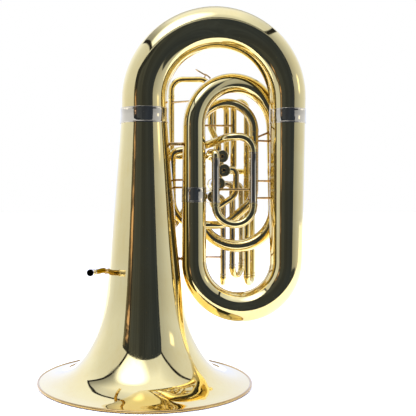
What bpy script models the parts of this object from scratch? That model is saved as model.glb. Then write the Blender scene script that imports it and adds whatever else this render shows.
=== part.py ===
"""Four-valve front-action piston tuba, standing on its bell.

Metres, +Z up. Points are written in the bell's frame: X = Y = 0 on the bell's axis, Z = 0 on the
rim, the mouthpiece side towards -Y and the finger buttons towards +Y. Everything is parented to one
empty that shifts the bell's axis, so that the origin lies under the middle of the whole instrument.
"""

import math

import bmesh
import bpy
import numpy as np
from mathutils import Matrix, Vector

# Driving dimensions
RIM_RADIUS = 0.2500  # a bell of 500 mm
THROAT_Z = 0.6204  # joint of bell and bottom bow
THROAT_RADIUS = 0.0550
BRANCH_X = 0.3357  # outer branch at that joint
BRANCH_RADIUS = 0.0415
WALL = 0.0009
GAP = 0.0003  # between pieces that touch
COLLAR_GAP = 0.0008  # between a tube and the ferrule round it, whose facets differ
COLLAR_THICK = 0.0010
COLLAR_LIP = 0.0005

# Outline of the bell above its rim: heights, and the outer radius at each
BELL_HEIGHTS = (0.0090, 0.0180, 0.0320, 0.0550, 0.0850, 0.1200, 0.1650, 0.2300, 0.3300, 0.4700)
BELL_RADII = (0.2160, 0.1890, 0.1650, 0.1440, 0.1250, 0.1095, 0.0975, 0.0877, 0.0774, 0.0660)
BELL_SIDES = 24
BOW_SIDES = 16
TUBE_SIDES = 12
SMALL_SIDES = 8
VALVE_SIDES = 12

# Branches and bows, in the order the air meets them going back from the bell
BOTTOM_BOW_Z = 0.6597
TOP_BOW_Z = 0.2810
OUTER_FOOT_X = 0.3317
OUTER_FOOT_RADIUS = 0.0381
SECOND_X = 0.1164
SECOND_JOINT_Z = 0.4364
SECOND_TOP_Z = 0.5970
SECOND_RADII = (0.0291, 0.0280, 0.0265)
THIRD_X, THIRD_Y = 0.3186, 0.0660
THIRD_RADII = (0.0214, 0.0165)
THIRD_BOW_Z = 0.4046
FOURTH_X, FOURTH_Y = 0.1311, 0.0680
FOURTH_RADII = (0.0135, 0.0120)
FOURTH_BOW_Z = 0.5900
FIFTH_X, FIFTH_Y = 0.2627, 0.0360
FIFTH_RADIUS = 0.0108
RETURN_Y = 0.0400
RETURN_Z = 0.3635
RETURN_RADIUS = 0.0094
BESIDE_BELL_X, BESIDE_BELL_Y = 0.0665, 0.0450
BESIDE_JOINT_Z = 0.5150
CROWN_Z = 0.5717  # where the crossing tube turns over the valves
BRACE_HEIGHTS = (0.5657, 0.4691, 0.4281)
BRACE_AIMS = (0.0, 0.0, 0.0037)  # how far towards the bell each one ends from the fifth branch's axis
SLANT_RISE = (0.0048, 0.0284)  # of the slanted brace's two ends over the highest of those
STUB_HEIGHTS = (0.4713, 0.4534)
LOW_BELL_BRACE_Z, HIGH_BELL_BRACE_Z = 0.2865, 0.5553
FIRST_STAY_Z = (0.2818, 0.2903)  # at the first slide, and at the second branch

# Main tuning slide
MAIN_Y = -0.0120
MAIN_LEFT_X = 0.1660
MAIN_RIGHT_X = 0.2535
MAIN_STOP_Z = 0.4171
MAIN_BOW_Z = 0.4110
MAIN_LEG_TOP_Z = 0.5000
MAIN_LEFT_TOP_Z = 0.5220
MAIN_RIGHT_TOP_Z = 0.5357
MAIN_BRACE_Z = 0.4486
MAIN_SLEEVE_RADIUS = 0.0093
MAIN_LEG_RADIUS = 0.0081

# Valves: axes along Y, bottom caps facing -Y, buttons at +Y
VALVE_ONE = Vector((0.1636, 0.0, 0.4309))
VALVE_STEP = Vector((0.0120, 0.0, 0.0315))
FOURTH_STEP = Vector((-0.0044, 0.0, 0.0327))
CASING_RADIUS = 0.0135
CASING_BORE = 0.0122
CASING_START_Y = 0.0120
CASING_END_Y = 0.1500
CAP_RADIUS = 0.0150
PISTON_RADIUS = 0.0118
PISTON_START_Y = 0.0750
PISTON_END_Y = 0.1480
SPRING_POCKET = 0.0100
STEM_RADIUS = 0.0028
STEM_END_Y = 0.1815
SPRING_RADIUS = 0.0080
SPRING_WIRE = 0.0006
SPRING_TURNS = 6
SPRING_STEPS = 6
KNUCKLE_Y = 0.0600
BUTTON_RADIUS = 0.0100

# Valve slides: the X and Y of their legs, and the height where their bows start
PORT_RADIUS = 0.0078
PORT_BEND = 0.0150
LEG_RADIUS = 0.0066
LEG_LENGTH = 0.0600
FIRST_LEGS = (Vector((0.1942, 0.0900, 0.0)), Vector((0.1982, 0.1250, 0.0)))
SECOND_LEGS = (Vector((0.2176, 0.0900, 0.0)), Vector((0.2448, 0.1280, 0.0)))
THIRD_LEGS = (Vector((0.2545, 0.1000, 0.0)), Vector((0.2727, 0.1320, 0.0)))
SLIDE_BOW_Z = {1: 0.2342, 2: 0.2587, 3: 0.2338}
LOOP_LEG = Vector((0.2199, 0.0850, 0.0))  # rising leg of the third valve's upper loop
LOOP_CROWN_Z = 0.6654
FOURTH_LEGS = (Vector((0.0671, 0.0920, 0.0)), Vector((0.1640, 0.0920, 0.0)))
FOURTH_STOP_Z = 0.6760
FOURTH_CROWN_Z = 0.7205
FOURTH_CORNER = 0.0280

# Leadpipe and receiver
RECEIVER_MOUTH = Vector((-0.1190, -0.1100, 0.2660))
RECEIVER_FOOT = Vector((-0.1151, -0.0620, 0.2622))
RECEIVER_RADIUS = 0.0079
RECEIVER_BORE = 0.0065
LEADPIPE_RADII = (0.0061, 0.0075)
LEADPIPE_BRACE = Vector((-0.0977, 0.0300, 0.2555))

# Water key, in the plane of the fourth valve slide
KEY_PIVOT = Vector((0.1515, 0.0920, 0.7318))
KEY_TOUCH = Vector((0.1305, 0.0920, 0.7437))
KEY_ARM_RADIUS = 0.0018
SADDLE_FOOT = 0.0340  # from what the bend turns about to the feet of the saddle's posts
NIPPLE_ANGLE = math.radians(45)

UP = Vector((0.0, 0.0, 1.0))
SIDE = Vector((1.0, 0.0, 0.0))
DEPTH = Vector((0.0, 1.0, 0.0))


def clear_scene():
    for obj in list(bpy.data.objects):
        bpy.data.objects.remove(obj, do_unlink=True)


def make_horn_frame():
    """The empty that carries the whole horn, with the origin under the middle of its box."""
    frame = bpy.data.objects.new("horn_frame", None)
    bpy.context.scene.collection.objects.link(frame)
    right_edge = BRANCH_X + BRANCH_RADIUS + COLLAR_GAP + COLLAR_THICK + COLLAR_LIP
    frame.location.x = -(right_edge - RIM_RADIUS) / 2
    return frame


def make_material(name, colour, roughness, metallic):
    material = bpy.data.materials.new(name)
    material.use_nodes = True
    shader = material.node_tree.nodes["Principled BSDF"]
    shader.inputs["Base Color"].default_value = (*colour, 1.0)
    shader.inputs["Roughness"].default_value = roughness
    shader.inputs["Metallic"].default_value = metallic
    material.diffuse_color = (*colour, 1.0)
    return material


clear_scene()
HORN = make_horn_frame()
BRASS = make_material("lacquered_brass", (0.83, 0.66, 0.30), 0.12, 1.0)
NICKEL = make_material("nickel_silver", (0.72, 0.70, 0.67), 0.15, 1.0)
STEEL = make_material("valve_steel", (0.60, 0.60, 0.60), 0.20, 1.0)
PEARL = make_material("pearl_button", (0.90, 0.89, 0.84), 0.25, 0.0)


# Building blocks


def make_object(name, bm, material, pivot=None):
    """An object from a bmesh, with its faces pointing out and its origin at pivot."""
    bmesh.ops.recalc_face_normals(bm, faces=bm.faces)
    if bm.calc_volume(signed=True) < 0:
        bmesh.ops.reverse_faces(bm, faces=bm.faces)
    pivot = pivot or Vector()
    bmesh.ops.translate(bm, verts=bm.verts, vec=-pivot)
    mesh = bpy.data.meshes.new(name)
    bm.to_mesh(mesh)
    bm.free()
    mesh.materials.append(material)
    mesh.shade_smooth()
    mesh.set_sharp_from_angle(angle=math.radians(50))
    obj = bpy.data.objects.new(name, mesh)
    bpy.context.scene.collection.objects.link(obj)
    obj.location = pivot
    obj.parent = HORN
    return obj


def helper(obj):
    obj.hide_render = True
    obj.display_type = "WIRE"
    return obj


def add_boolean(obj, other, operation):
    modifier = obj.modifiers.new(f"{operation.lower()} {other.name}", "BOOLEAN")
    modifier.operation = operation
    modifier.solver = "EXACT"
    modifier.object = other


def at(place, z):
    return Vector((place.x, place.y, z))


def plan(x, y):
    return Vector((x, y, 0.0))


def fillet(corner, before, after, radius, step):
    """Points of a bend at a corner, each with its direction."""
    angle = before.angle(after)
    start = corner - before * radius * math.tan(angle / 2)
    normal = before.cross(after).normalized()
    centre = start + normal.cross(before) * radius
    count = max(2, math.ceil(math.degrees(angle) / step - 0.01))
    bend = []
    for i in range(count + 1):
        turn = Matrix.Rotation(angle * i / count, 3, normal)
        bend.append((centre + turn @ (start - centre), (turn @ before).normalized()))
    return bend


def bent_route(corners, radii, step=30):
    """Straight runs joined by bends. radii has one entry per inner corner, 0 for a plain point."""
    route = [(corners[0], (corners[1] - corners[0]).normalized())]
    for i, radius in enumerate(radii, start=1):
        before = (corners[i] - corners[i - 1]).normalized()
        after = (corners[i + 1] - corners[i]).normalized()
        if radius:
            route.extend(fillet(corners[i], before, after, radius, step))
        else:
            route.append((corners[i], after))
    route.append((corners[-1], (corners[-1] - corners[-2]).normalized()))
    kept = [route[0]]
    for point, direction in route[1:]:
        if (point - kept[-1][0]).length > 1e-5:
            kept.append((point, direction))
    return kept


def straight_route(start, end, stops=()):
    direction = (end - start).normalized()
    points = [start, *(start + direction * stop for stop in stops), end]
    return [(point, direction) for point in points]


def bow_route(start, end, z, sense=1):
    """A half circle over (sense 1) or under (sense -1) two feet at height z."""
    radius = (end - start).length / 2
    crest = z + sense * radius
    corners = [at(start, z), at(start, crest), at(end, crest), at(end, z)]
    return bent_route(corners, [radius * 0.99999] * 2, 22.5)


def smooth_route(points, spans=2):
    """A Catmull-Rom curve through the points, in this many steps from each to the next."""
    padded = [2 * points[0] - points[1], *points, 2 * points[-1] - points[-2]]
    route = []
    for i in range(1, len(padded) - 2):
        p0, p1, p2, p3 = padded[i - 1 : i + 3]
        count = spans + 1 if i == len(padded) - 3 else spans
        square = 2 * p0 - 5 * p1 + 4 * p2 - p3
        cube = 3 * p1 - p0 - 3 * p2 + p3
        for k in range(count):
            t = k / spans
            point = 0.5 * (2 * p1 + (p2 - p0) * t + square * t**2 + cube * t**3)
            slope = (p2 - p0) + 2 * square * t + 3 * cube * t**2
            route.append((point, slope.normalized()))
    return route


def lengths(route):
    steps = [0.0]
    for (a, _), (b, _) in zip(route, route[1:]):
        steps.append(steps[-1] + (b - a).length)
    return steps


def ring(bm, centre, u, v, radius, sides):
    found = []
    for k in range(sides):
        angle = 2 * math.pi * k / sides
        found.append(bm.verts.new(centre + (u * math.cos(angle) + v * math.sin(angle)) * radius))
    return found


def rings_along(bm, route, radii, sides, reference):
    """A ring round each point of the route, turned without twist from one to the next."""
    before = route[0][1]
    u = reference
    rings = []
    for (point, direction), radius in zip(route, radii):
        u = before.rotation_difference(direction) @ u
        u = (u - direction * u.dot(direction)).normalized()
        before = direction
        rings.append(ring(bm, point, u, direction.cross(u), radius, sides))
    return rings


def skin(bm, first, second):
    count = len(first)
    for k in range(count):
        j = (k + 1) % count
        bm.faces.new((first[k], first[j], second[j], second[k]))


def skin_all(bm, rings):
    for first, second in zip(rings, rings[1:]):
        skin(bm, first, second)


def tube(name, route, sections, material, sides=SMALL_SIDES, reference=SIDE, pivot=None):
    """A hollow tube, open at both ends. sections are (share of its length, outer radius) pairs."""
    along = lengths(route)
    shares = [pair[0] for pair in sections]
    outer = np.interp([d / along[-1] for d in along], shares, [pair[1] for pair in sections])
    bm = bmesh.new()
    outside = rings_along(bm, route, outer, sides, reference)
    inside = rings_along(bm, route, outer - WALL, sides, reference)
    skin_all(bm, outside)
    skin_all(bm, inside)
    skin(bm, outside[0], inside[0])
    skin(bm, outside[-1], inside[-1])
    return make_object(name, bm, material, pivot)


def taper(start, end):
    return [(0.0, start), (1.0, end)]


def sleeve(name, route, radii, bore, material):
    """A straight collar with steps on its outside, a radius for each point, and one plain bore."""
    bm = bmesh.new()
    outside = rings_along(bm, route, radii, SMALL_SIDES, SIDE)
    inside = rings_along(bm, [route[0], route[-1]], [bore, bore], SMALL_SIDES, SIDE)
    skin_all(bm, outside)
    skin_all(bm, inside)
    skin(bm, outside[0], inside[0])
    skin(bm, outside[-1], inside[-1])
    return make_object(name, bm, material)


def rod(name, route, radius, material, sides=SMALL_SIDES, reference=SIDE, pivot=None):
    """A solid bar along a route."""
    bm = bmesh.new()
    rings = rings_along(bm, route, [radius] * len(route), sides, reference)
    skin_all(bm, rings)
    bm.faces.new(rings[0])
    bm.faces.new(rings[-1])
    return make_object(name, bm, material, pivot)


def lathe(name, profile, material, foot, axis, sides, pivot=None):
    """Turns (radius, height) points round an axis. A profile with ends on the axis isn't closed."""
    reference = SIDE if abs(axis.dot(SIDE)) < 0.9 else UP
    u = (reference - axis * reference.dot(axis)).normalized()
    v = axis.cross(u)
    bm = bmesh.new()
    rings = []
    for radius, height in profile:
        centre = foot + axis * height
        rings.append(ring(bm, centre, u, v, radius, sides) if radius else [bm.verts.new(centre)])
    pairs = list(zip(rings, rings[1:]))
    if profile[0][0]:
        pairs.append((rings[-1], rings[0]))
    for first, second in pairs:
        if len(first) == len(second):
            skin(bm, first, second)
            continue
        tip, edge = (first, second) if len(first) == 1 else (second, first)
        for k in range(sides):
            bm.faces.new((edge[k], edge[(k + 1) % sides], tip[0]))
    return make_object(name, bm, material, pivot)


def cylinder(name, foot, axis, radius, start, end, sides):
    """A plain hidden cylinder, for cutting and joining."""
    profile = [(0, start), (radius, start), (radius, end), (0, end)]
    return helper(lathe(name, profile, BRASS, foot, axis, sides))


def braze_rod(obj, name, start, end, radius=0.0022):
    """Joins a solid rod to a tube. start lies inside the tube's wall."""
    direction = (end - start).normalized()
    length = (end - start).length
    add_boolean(obj, cylinder(name, start, direction, radius, 0.0, length, SMALL_SIDES), "UNION")


def wall_reach(radius, sides):
    """How far the middle of a tube's wall is from its axis, on the flat of a facet."""
    return radius * math.cos(math.pi / sides) - WALL / 2


def brace(obj, name, centre, radius, towards, stop, sides=SMALL_SIDES, thickness=0.0022):
    """A rod from the wall of a tube round centre, that ends at a distance stop from towards."""
    direction = (towards - centre).normalized()
    start = centre + direction * wall_reach(radius, sides)
    braze_rod(obj, name, start, towards - direction * stop, thickness)


def link(obj, name, first, second, radius):
    """A rod between the walls of two equal parallel tubes that are one piece."""
    direction = (second - first).normalized()
    reach = wall_reach(radius, SMALL_SIDES)
    braze_rod(obj, name, first + direction * reach, second - direction * reach, 0.0020)


# The large bore


def bell_profile():
    """Down the outside from the throat, round the rolled rim, and back up inside the wall."""
    heights = np.array((*BELL_HEIGHTS, THROAT_Z - GAP / 2))
    radii = np.array((*BELL_RADII, THROAT_RADIUS))
    outside = list(zip(radii[::-1], heights[::-1]))
    bead = [
        (RIM_RADIUS - 0.0060, 0.0046),
        (RIM_RADIUS - 0.0034, 0.0060),
        (RIM_RADIUS - 0.0008, 0.0048),
        (RIM_RADIUS, 0.0028),
        (RIM_RADIUS - 0.0010, 0.0),
        (RIM_RADIUS - 0.0045, 0.0),
        (RIM_RADIUS - 0.0075, 0.0016),
    ]
    tilt = np.sqrt(1 + np.gradient(radii, heights) ** 2)
    inside = list(zip(radii - WALL * tilt, heights))
    return outside + bead + inside


def ferrule(name, centre, low, high, joint, radii, sides):
    """A collar with a raised lip at each end: tube radii at its foot, at the joint and at its top."""
    foot, middle, top = (radius + COLLAR_GAP for radius in radii)
    lip = COLLAR_THICK + COLLAR_LIP
    band = 0.0035
    profile = [
        (foot + lip, low),
        (foot + lip, low + band),
        (foot + COLLAR_THICK, low + band),
        (middle + COLLAR_THICK, joint),
        (top + COLLAR_THICK, high - band),
        (top + lip, high - band),
        (top + lip, high),
        (top, high),
        (middle, joint),
        (foot, low),
    ]
    lathe(name, profile, NICKEL, centre, UP, sides)


def make_bell_and_outer_branch():
    lathe("bell", bell_profile(), BRASS, Vector(), UP, BELL_SIDES)
    radii = (0.0565, THROAT_RADIUS, THROAT_RADIUS)
    ferrule("bell_ferrule", Vector(), 0.6022, 0.6386, THROAT_Z, radii, BELL_SIDES)

    foot = THROAT_Z + GAP / 2
    crest = BOTTOM_BOW_Z + BRANCH_X / 2
    corners = [
        Vector((0.0, 0.0, foot)),
        Vector((0.0, 0.0, crest)),
        Vector((BRANCH_X, 0.0, crest)),
        Vector((BRANCH_X, 0.0, foot)),
    ]
    route = bent_route(corners, [BRANCH_X / 2 * 0.99999] * 2, 15)
    shape = [(0.0, THROAT_RADIUS), (0.5, 0.0512), (1.0, BRANCH_RADIUS)]
    tube("bottom_bow", route, shape, BRASS, BOW_SIDES)
    radii = (BRANCH_RADIUS, BRANCH_RADIUS, BRANCH_RADIUS)
    ferrule("bow_ferrule", plan(BRANCH_X, 0.0), 0.6022, 0.6362, THROAT_Z, radii, BOW_SIDES)

    route = [
        (Vector((BRANCH_X, 0.0, THROAT_Z - GAP / 2)), -UP),
        (Vector((BRANCH_X, 0.0, 0.6000)), -UP),
        (Vector((OUTER_FOOT_X, 0.0, TOP_BOW_Z + GAP / 2)), -UP),
    ]
    tube("outer_branch", route, taper(BRANCH_RADIUS, OUTER_FOOT_RADIUS), BRASS, BOW_SIDES)


def bell_radius(z):
    """Outer radius of the bell at a height between its flare and its throat."""
    return np.interp(z, (*BELL_HEIGHTS, THROAT_Z), (*BELL_RADII, THROAT_RADIUS))


def brace_to_bell(branch, name, centre, radius, thickness):
    """A rod from the second branch that ends just short of the bell, which is wider at its lower edge."""
    bell_side = Vector((bell_radius(centre.z - thickness) + GAP, 0.0, centre.z))
    brace(branch, name, centre, radius, bell_side, 0.0, TUBE_SIDES, thickness)


def make_top_bow_and_second_branch():
    start, end = plan(OUTER_FOOT_X, 0.0), plan(SECOND_X, 0.0)
    route = bow_route(start, end, TOP_BOW_Z - GAP / 2, -1)
    shape = [(0.0, OUTER_FOOT_RADIUS), (0.5, 0.0350), (1.0, SECOND_RADII[0])]
    tube("top_bow", route, shape, BRASS, BOW_SIDES)

    low, middle, high = SECOND_RADII
    route = straight_route(at(end, TOP_BOW_Z + GAP / 2), at(end, SECOND_JOINT_Z - GAP / 2))
    branch = tube("second_branch_lower", route, taper(low, middle), BRASS, TUBE_SIDES)
    brace_to_bell(branch, "low_bell_brace", at(end, LOW_BELL_BRACE_Z), low, 0.0035)
    route = straight_route(at(end, SECOND_JOINT_Z + GAP / 2), at(end, SECOND_TOP_Z - GAP / 2))
    branch = tube("second_branch_upper", route, taper(middle, high), BRASS, TUBE_SIDES)
    brace_to_bell(branch, "high_bell_brace", at(end, HIGH_BELL_BRACE_Z), high, 0.0045)
    radii = (middle + 0.0002, middle, middle)
    ferrule("second_ferrule", end, 0.4190, 0.4535, SECOND_JOINT_Z, radii, TUBE_SIDES)


def third_radius(z):
    """Outer radius of the third branch at a height."""
    wide, narrow = THIRD_RADII
    return wide + (narrow - wide) * (SECOND_TOP_Z - z) / (SECOND_TOP_Z - THIRD_BOW_Z)


def make_second_bow_to_fifth_branch():
    second, third = plan(SECOND_X, 0.0), plan(THIRD_X, THIRD_Y)
    fourth, fifth = plan(FOURTH_X, FOURTH_Y), plan(FIFTH_X, FIFTH_Y)
    wide, narrow = THIRD_RADII
    route = bow_route(second, third, SECOND_TOP_Z + GAP / 2)
    tube("second_bow", route, taper(SECOND_RADII[2], wide), BRASS, TUBE_SIDES)

    route = straight_route(at(third, SECOND_TOP_Z - GAP / 2), at(third, THIRD_BOW_Z + GAP / 2))
    branch = tube("third_branch", route, taper(wide, narrow), BRASS, TUBE_SIDES)
    stop = FIFTH_RADIUS + 2 * GAP
    for i, (z, aim) in enumerate(zip(BRACE_HEIGHTS, BRACE_AIMS)):
        target = at(fifth, z) - SIDE * aim
        name = f"branch_brace_{i + 1}"
        brace(branch, name, at(third, z), third_radius(z), target, stop, TUBE_SIDES)
    low = at(fifth, BRACE_HEIGHTS[0] + SLANT_RISE[0])
    high = at(third, BRACE_HEIGHTS[0] + SLANT_RISE[1])
    level = (low - high).normalized().xy.length
    stop = (FIFTH_RADIUS + 4 * GAP) / level
    brace(branch, "slanted_brace", high, third_radius(high.z), low, stop, TUBE_SIDES)

    route = bow_route(third, fourth, THIRD_BOW_Z - GAP / 2, -1)
    tube("third_bow", route, taper(narrow, FOURTH_RADII[0]), BRASS, TUBE_SIDES)
    route = straight_route(at(fourth, THIRD_BOW_Z + GAP / 2), at(fourth, FOURTH_BOW_Z - GAP / 2))
    tube("fourth_branch", route, taper(*FOURTH_RADII), BRASS)
    route = bow_route(fourth, fifth, FOURTH_BOW_Z + GAP / 2)
    tube("fourth_bow", route, taper(FOURTH_RADII[1], FIFTH_RADIUS), BRASS)


def make_return_and_crossing():
    """Down behind the main slide, across, up beside the bell, and back over the valves."""
    fifth = plan(FIFTH_X, FIFTH_Y)
    beside = plan(BESIDE_BELL_X, BESIDE_BELL_Y)
    corners = [
        at(fifth, FOURTH_BOW_Z - GAP / 2),
        at(fifth, 0.4247),
        Vector((0.1951, RETURN_Y, RETURN_Z)),
        at(beside, RETURN_Z),
        at(beside, BESIDE_JOINT_Z - GAP / 2),
    ]
    route = bent_route(corners, [0.050, 0.060, 0.060])
    back = tube("return_tube", route, taper(FIFTH_RADIUS, RETURN_RADIUS), BRASS)
    stop = SECOND_RADII[1] + COLLAR_GAP + COLLAR_THICK + COLLAR_LIP + 2 * GAP
    for i, z in enumerate(STUB_HEIGHTS):
        second = Vector((SECOND_X, 0.0, z))
        brace(back, f"stub_brace_{i + 1}", at(beside, z), RETURN_RADIUS, second, stop)

    right = plan(MAIN_RIGHT_X, MAIN_Y)
    corners = [
        at(right, MAIN_RIGHT_TOP_Z + GAP),
        at(right, CROWN_Z),
        Vector((0.1960, -0.0100, CROWN_Z)),
        Vector((0.1500, RETURN_Y, 0.5555)),
        at(beside, 0.5380),
        at(beside, BESIDE_JOINT_Z + GAP / 2),
    ]
    route = bent_route(corners, [0.0340, 0.0400, 0.0300, 0.0160])
    tube("crossing_tube", route, taper(0.0092, RETURN_RADIUS), BRASS)


# Main tuning slide


def make_main_sleeves():
    """Both sleeves of the main tuning slide and the rod between them, in one piece."""
    left, right = plan(MAIN_LEFT_X, MAIN_Y), plan(MAIN_RIGHT_X, MAIN_Y)
    band = 0.0040
    places = (("main_sleeves", left, MAIN_LEFT_TOP_Z), ("right_sleeve", right, MAIN_RIGHT_TOP_Z))
    made = []
    for name, foot, top in places:
        length = top - MAIN_STOP_Z
        stops = (band, band + GAP, length - band - GAP, length - band)
        route = straight_route(at(foot, MAIN_STOP_Z), at(foot, top), stops)
        raised = MAIN_SLEEVE_RADIUS + COLLAR_LIP
        plain = MAIN_SLEEVE_RADIUS
        radii = [raised, raised, plain, plain, raised, raised]
        made.append(sleeve(name, route, radii, MAIN_LEG_RADIUS + GAP, NICKEL))
    add_boolean(made[0], helper(made[1]), "UNION")
    reach = MAIN_SLEEVE_RADIUS * math.cos(math.pi / SMALL_SIDES) - 0.0003
    start = at(left, MAIN_BRACE_Z) + SIDE * reach
    braze_rod(made[0], "sleeve_rod", start, at(right, MAIN_BRACE_Z) - SIDE * reach, 0.0024)


def stepped_slide(name, corners, bends, inner, outer, leg, pivot, reference=SIDE):
    """A bent tube with a thinner leg at each end, which runs inside a sleeve."""
    route = bent_route(corners, bends)
    total = lengths(route)[-1]
    step = 0.0005
    sections = [
        (0.0, inner),
        (leg / total, inner),
        ((leg + step) / total, outer),
        (1.0 - (leg + step) / total, outer),
        (1.0 - leg / total, inner),
        (1.0, inner),
    ]
    return tube(name, route, sections, BRASS, reference=reference, pivot=pivot)


def slide_corners(first, second, stop, way, leg, straight, corner):
    """Corners and bends of a U: legs inside the sleeves, then straight runs and two bends beyond stop."""
    step = 0.0005
    crest = stop + way * (straight + corner)
    near = stop + way * GAP
    corners = [
        at(first, stop - way * leg),
        at(first, near),
        at(first, near + way * step),
        at(first, crest),
        at(second, crest),
        at(second, near + way * step),
        at(second, near),
        at(second, stop - way * leg),
    ]
    return corners, [0, 0, corner * 0.9999, corner * 0.9999, 0, 0]


def make_main_slide():
    left, right = plan(MAIN_LEFT_X, MAIN_Y), plan(MAIN_RIGHT_X, MAIN_Y)
    corner = (MAIN_RIGHT_X - MAIN_LEFT_X) / 2
    leg = MAIN_LEG_TOP_Z - MAIN_STOP_Z
    straight = MAIN_STOP_Z - MAIN_BOW_Z
    corners, bends = slide_corners(left, right, MAIN_STOP_Z, -1, leg, straight, corner)
    pivot = Vector(((MAIN_LEFT_X + MAIN_RIGHT_X) / 2, MAIN_Y, MAIN_STOP_Z))
    radii = (MAIN_LEG_RADIUS, MAIN_SLEEVE_RADIUS)
    stepped_slide("main_tuning_slide", corners, bends, *radii, leg + GAP, pivot)


# Valves


def valve_place(number):
    """Where the axis of this valve meets the plane Y = 0."""
    if number == 4:
        return VALVE_ONE + VALVE_STEP * 2 + FOURTH_STEP
    return VALVE_ONE + VALVE_STEP * (number - 1)


def port(number, y):
    return valve_place(number) + DEPTH * y


def casing_space(number):
    """The space that a casing takes, to which the tubes brazed on it are cut."""
    foot = valve_place(number)
    return cylinder(f"casing_space_{number}", foot, DEPTH, CASING_RADIUS + GAP, 0.0, 0.17, VALVE_SIDES)


SPACES = {number: casing_space(number) for number in (1, 2, 3, 4)}


def make_casing(number):
    """A bored cylinder, with a bored knuckle towards the next valve."""
    foot = valve_place(number)
    body = [
        (0, CASING_START_Y),
        (CASING_RADIUS, CASING_START_Y),
        (CASING_RADIUS, CASING_END_Y),
        (0, CASING_END_Y),
    ]
    casing = lathe(f"valve_casing_{number}", body, BRASS, foot, DEPTH, VALVE_SIDES)
    if number < 4:
        low, high = port(number, KNUCKLE_Y), port(number + 1, KNUCKLE_Y)
        way = (high - low).normalized()
        length = (high - low).length
        outer = cylinder(f"knuckle_{number}", low, way, PORT_RADIUS, 0.0, length, SMALL_SIDES)
        bore = cylinder(f"knuckle_bore_{number}", low, way, PORT_RADIUS - WALL, 0.0, length, SMALL_SIDES)
        add_boolean(casing, outer, "UNION")
        add_boolean(casing, SPACES[number + 1], "DIFFERENCE")
        add_boolean(casing, bore, "DIFFERENCE")
    ends = (CASING_START_Y - 0.01, CASING_END_Y + 0.01)
    hollow = cylinder(f"casing_bore_{number}", foot, DEPTH, CASING_BORE, *ends, VALVE_SIDES)
    add_boolean(casing, hollow, "DIFFERENCE")


def make_caps(number):
    foot = valve_place(number)
    inside = CASING_RADIUS + GAP
    base = CASING_START_Y
    face = base - 0.0072
    floor = base - 0.0050
    bottom = [
        (CAP_RADIUS, base + 0.0080),
        (CAP_RADIUS, face + 0.0012),
        (CAP_RADIUS - 0.0012, face),
        (CAP_RADIUS - 0.0040, face),
        (CAP_RADIUS - 0.0048, face - 0.0010),
        (CAP_RADIUS - 0.0085, face - 0.0010),
        (CAP_RADIUS - 0.0093, face),
        (0.0030, face),
        (0.0030, floor),
        (inside, floor),
        (inside, base + 0.0080),
    ]
    lathe(f"bottom_cap_{number}", bottom, BRASS, foot, DEPTH, VALVE_SIDES)
    end = CASING_END_Y
    hole = STEM_RADIUS + 0.0007
    top = [
        (inside, end - 0.0090),
        (inside, end + 0.0010),
        (hole, end + 0.0010),
        (hole, end + 0.0055),
        (0.0075, end + 0.0055),
        (0.0090, end + 0.0035),
        (CAP_RADIUS - 0.0012, end + 0.0030),
        (CAP_RADIUS, end + 0.0018),
        (CAP_RADIUS, end - 0.0090),
    ]
    lathe(f"top_cap_{number}", top, BRASS, foot, DEPTH, VALVE_SIDES)


def make_piston(number):
    """A piston with a spring pocket in its foot and a stem, and the finger button on the stem."""
    foot = valve_place(number)
    seat = PISTON_START_Y + SPRING_POCKET
    pocket = PISTON_RADIUS - 0.0018
    piston = [
        (0, STEM_END_Y),
        (STEM_RADIUS, STEM_END_Y),
        (STEM_RADIUS, PISTON_END_Y),
        (PISTON_RADIUS, PISTON_END_Y),
        (PISTON_RADIUS, PISTON_START_Y),
        (pocket, PISTON_START_Y),
        (pocket, seat),
        (0, seat),
    ]
    pivot = foot + DEPTH * PISTON_START_Y
    lathe(f"piston_{number}", piston, STEEL, foot, DEPTH, VALVE_SIDES, pivot)

    low = STEM_END_Y - 0.0075
    hole = STEM_RADIUS + GAP
    button = [
        (0, STEM_END_Y + 0.0040),
        (BUTTON_RADIUS - 0.0020, STEM_END_Y + 0.0040),
        (BUTTON_RADIUS, STEM_END_Y + 0.0022),
        (BUTTON_RADIUS, STEM_END_Y - 0.0004),
        (BUTTON_RADIUS - 0.0015, STEM_END_Y - 0.0025),
        (0.0048, STEM_END_Y - 0.0045),
        (0.0048, low),
        (hole, low),
        (hole, STEM_END_Y + GAP),
        (0, STEM_END_Y + GAP),
    ]
    pivot = foot + DEPTH * low
    lathe(f"finger_button_{number}", button, PEARL, foot, DEPTH, VALVE_SIDES, pivot)


def make_spring(number):
    """A coil between the bottom cap's floor and the piston's pocket."""
    foot = valve_place(number)
    start = CASING_START_Y - 0.0050 + GAP + SPRING_WIRE
    end = PISTON_START_Y + SPRING_POCKET - GAP - SPRING_WIRE
    steps = SPRING_TURNS * SPRING_STEPS
    rise = (end - start) / (2 * math.pi * SPRING_TURNS * SPRING_RADIUS)
    route = []
    for i in range(steps + 1):
        angle = 2 * math.pi * i / SPRING_STEPS
        outward = Vector((math.cos(angle), 0.0, math.sin(angle)))
        round_way = Vector((-math.sin(angle), rise, math.cos(angle)))
        point = foot + outward * SPRING_RADIUS + DEPTH * (start + (end - start) * i / steps)
        route.append((point, round_way.normalized()))
    rod(f"valve_spring_{number}", route, SPRING_WIRE, STEEL, 4, DEPTH, foot + DEPTH * start)


# Valve tubing


def sleeve_route(number, leg, bow_z):
    """From the slide's bow up a leg, and into the side of the valve."""
    place = valve_place(number)
    corners = [at(leg, bow_z + GAP / 2), at(leg, place.z), port(number, leg.y)]
    return bent_route(corners, [PORT_BEND])


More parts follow.
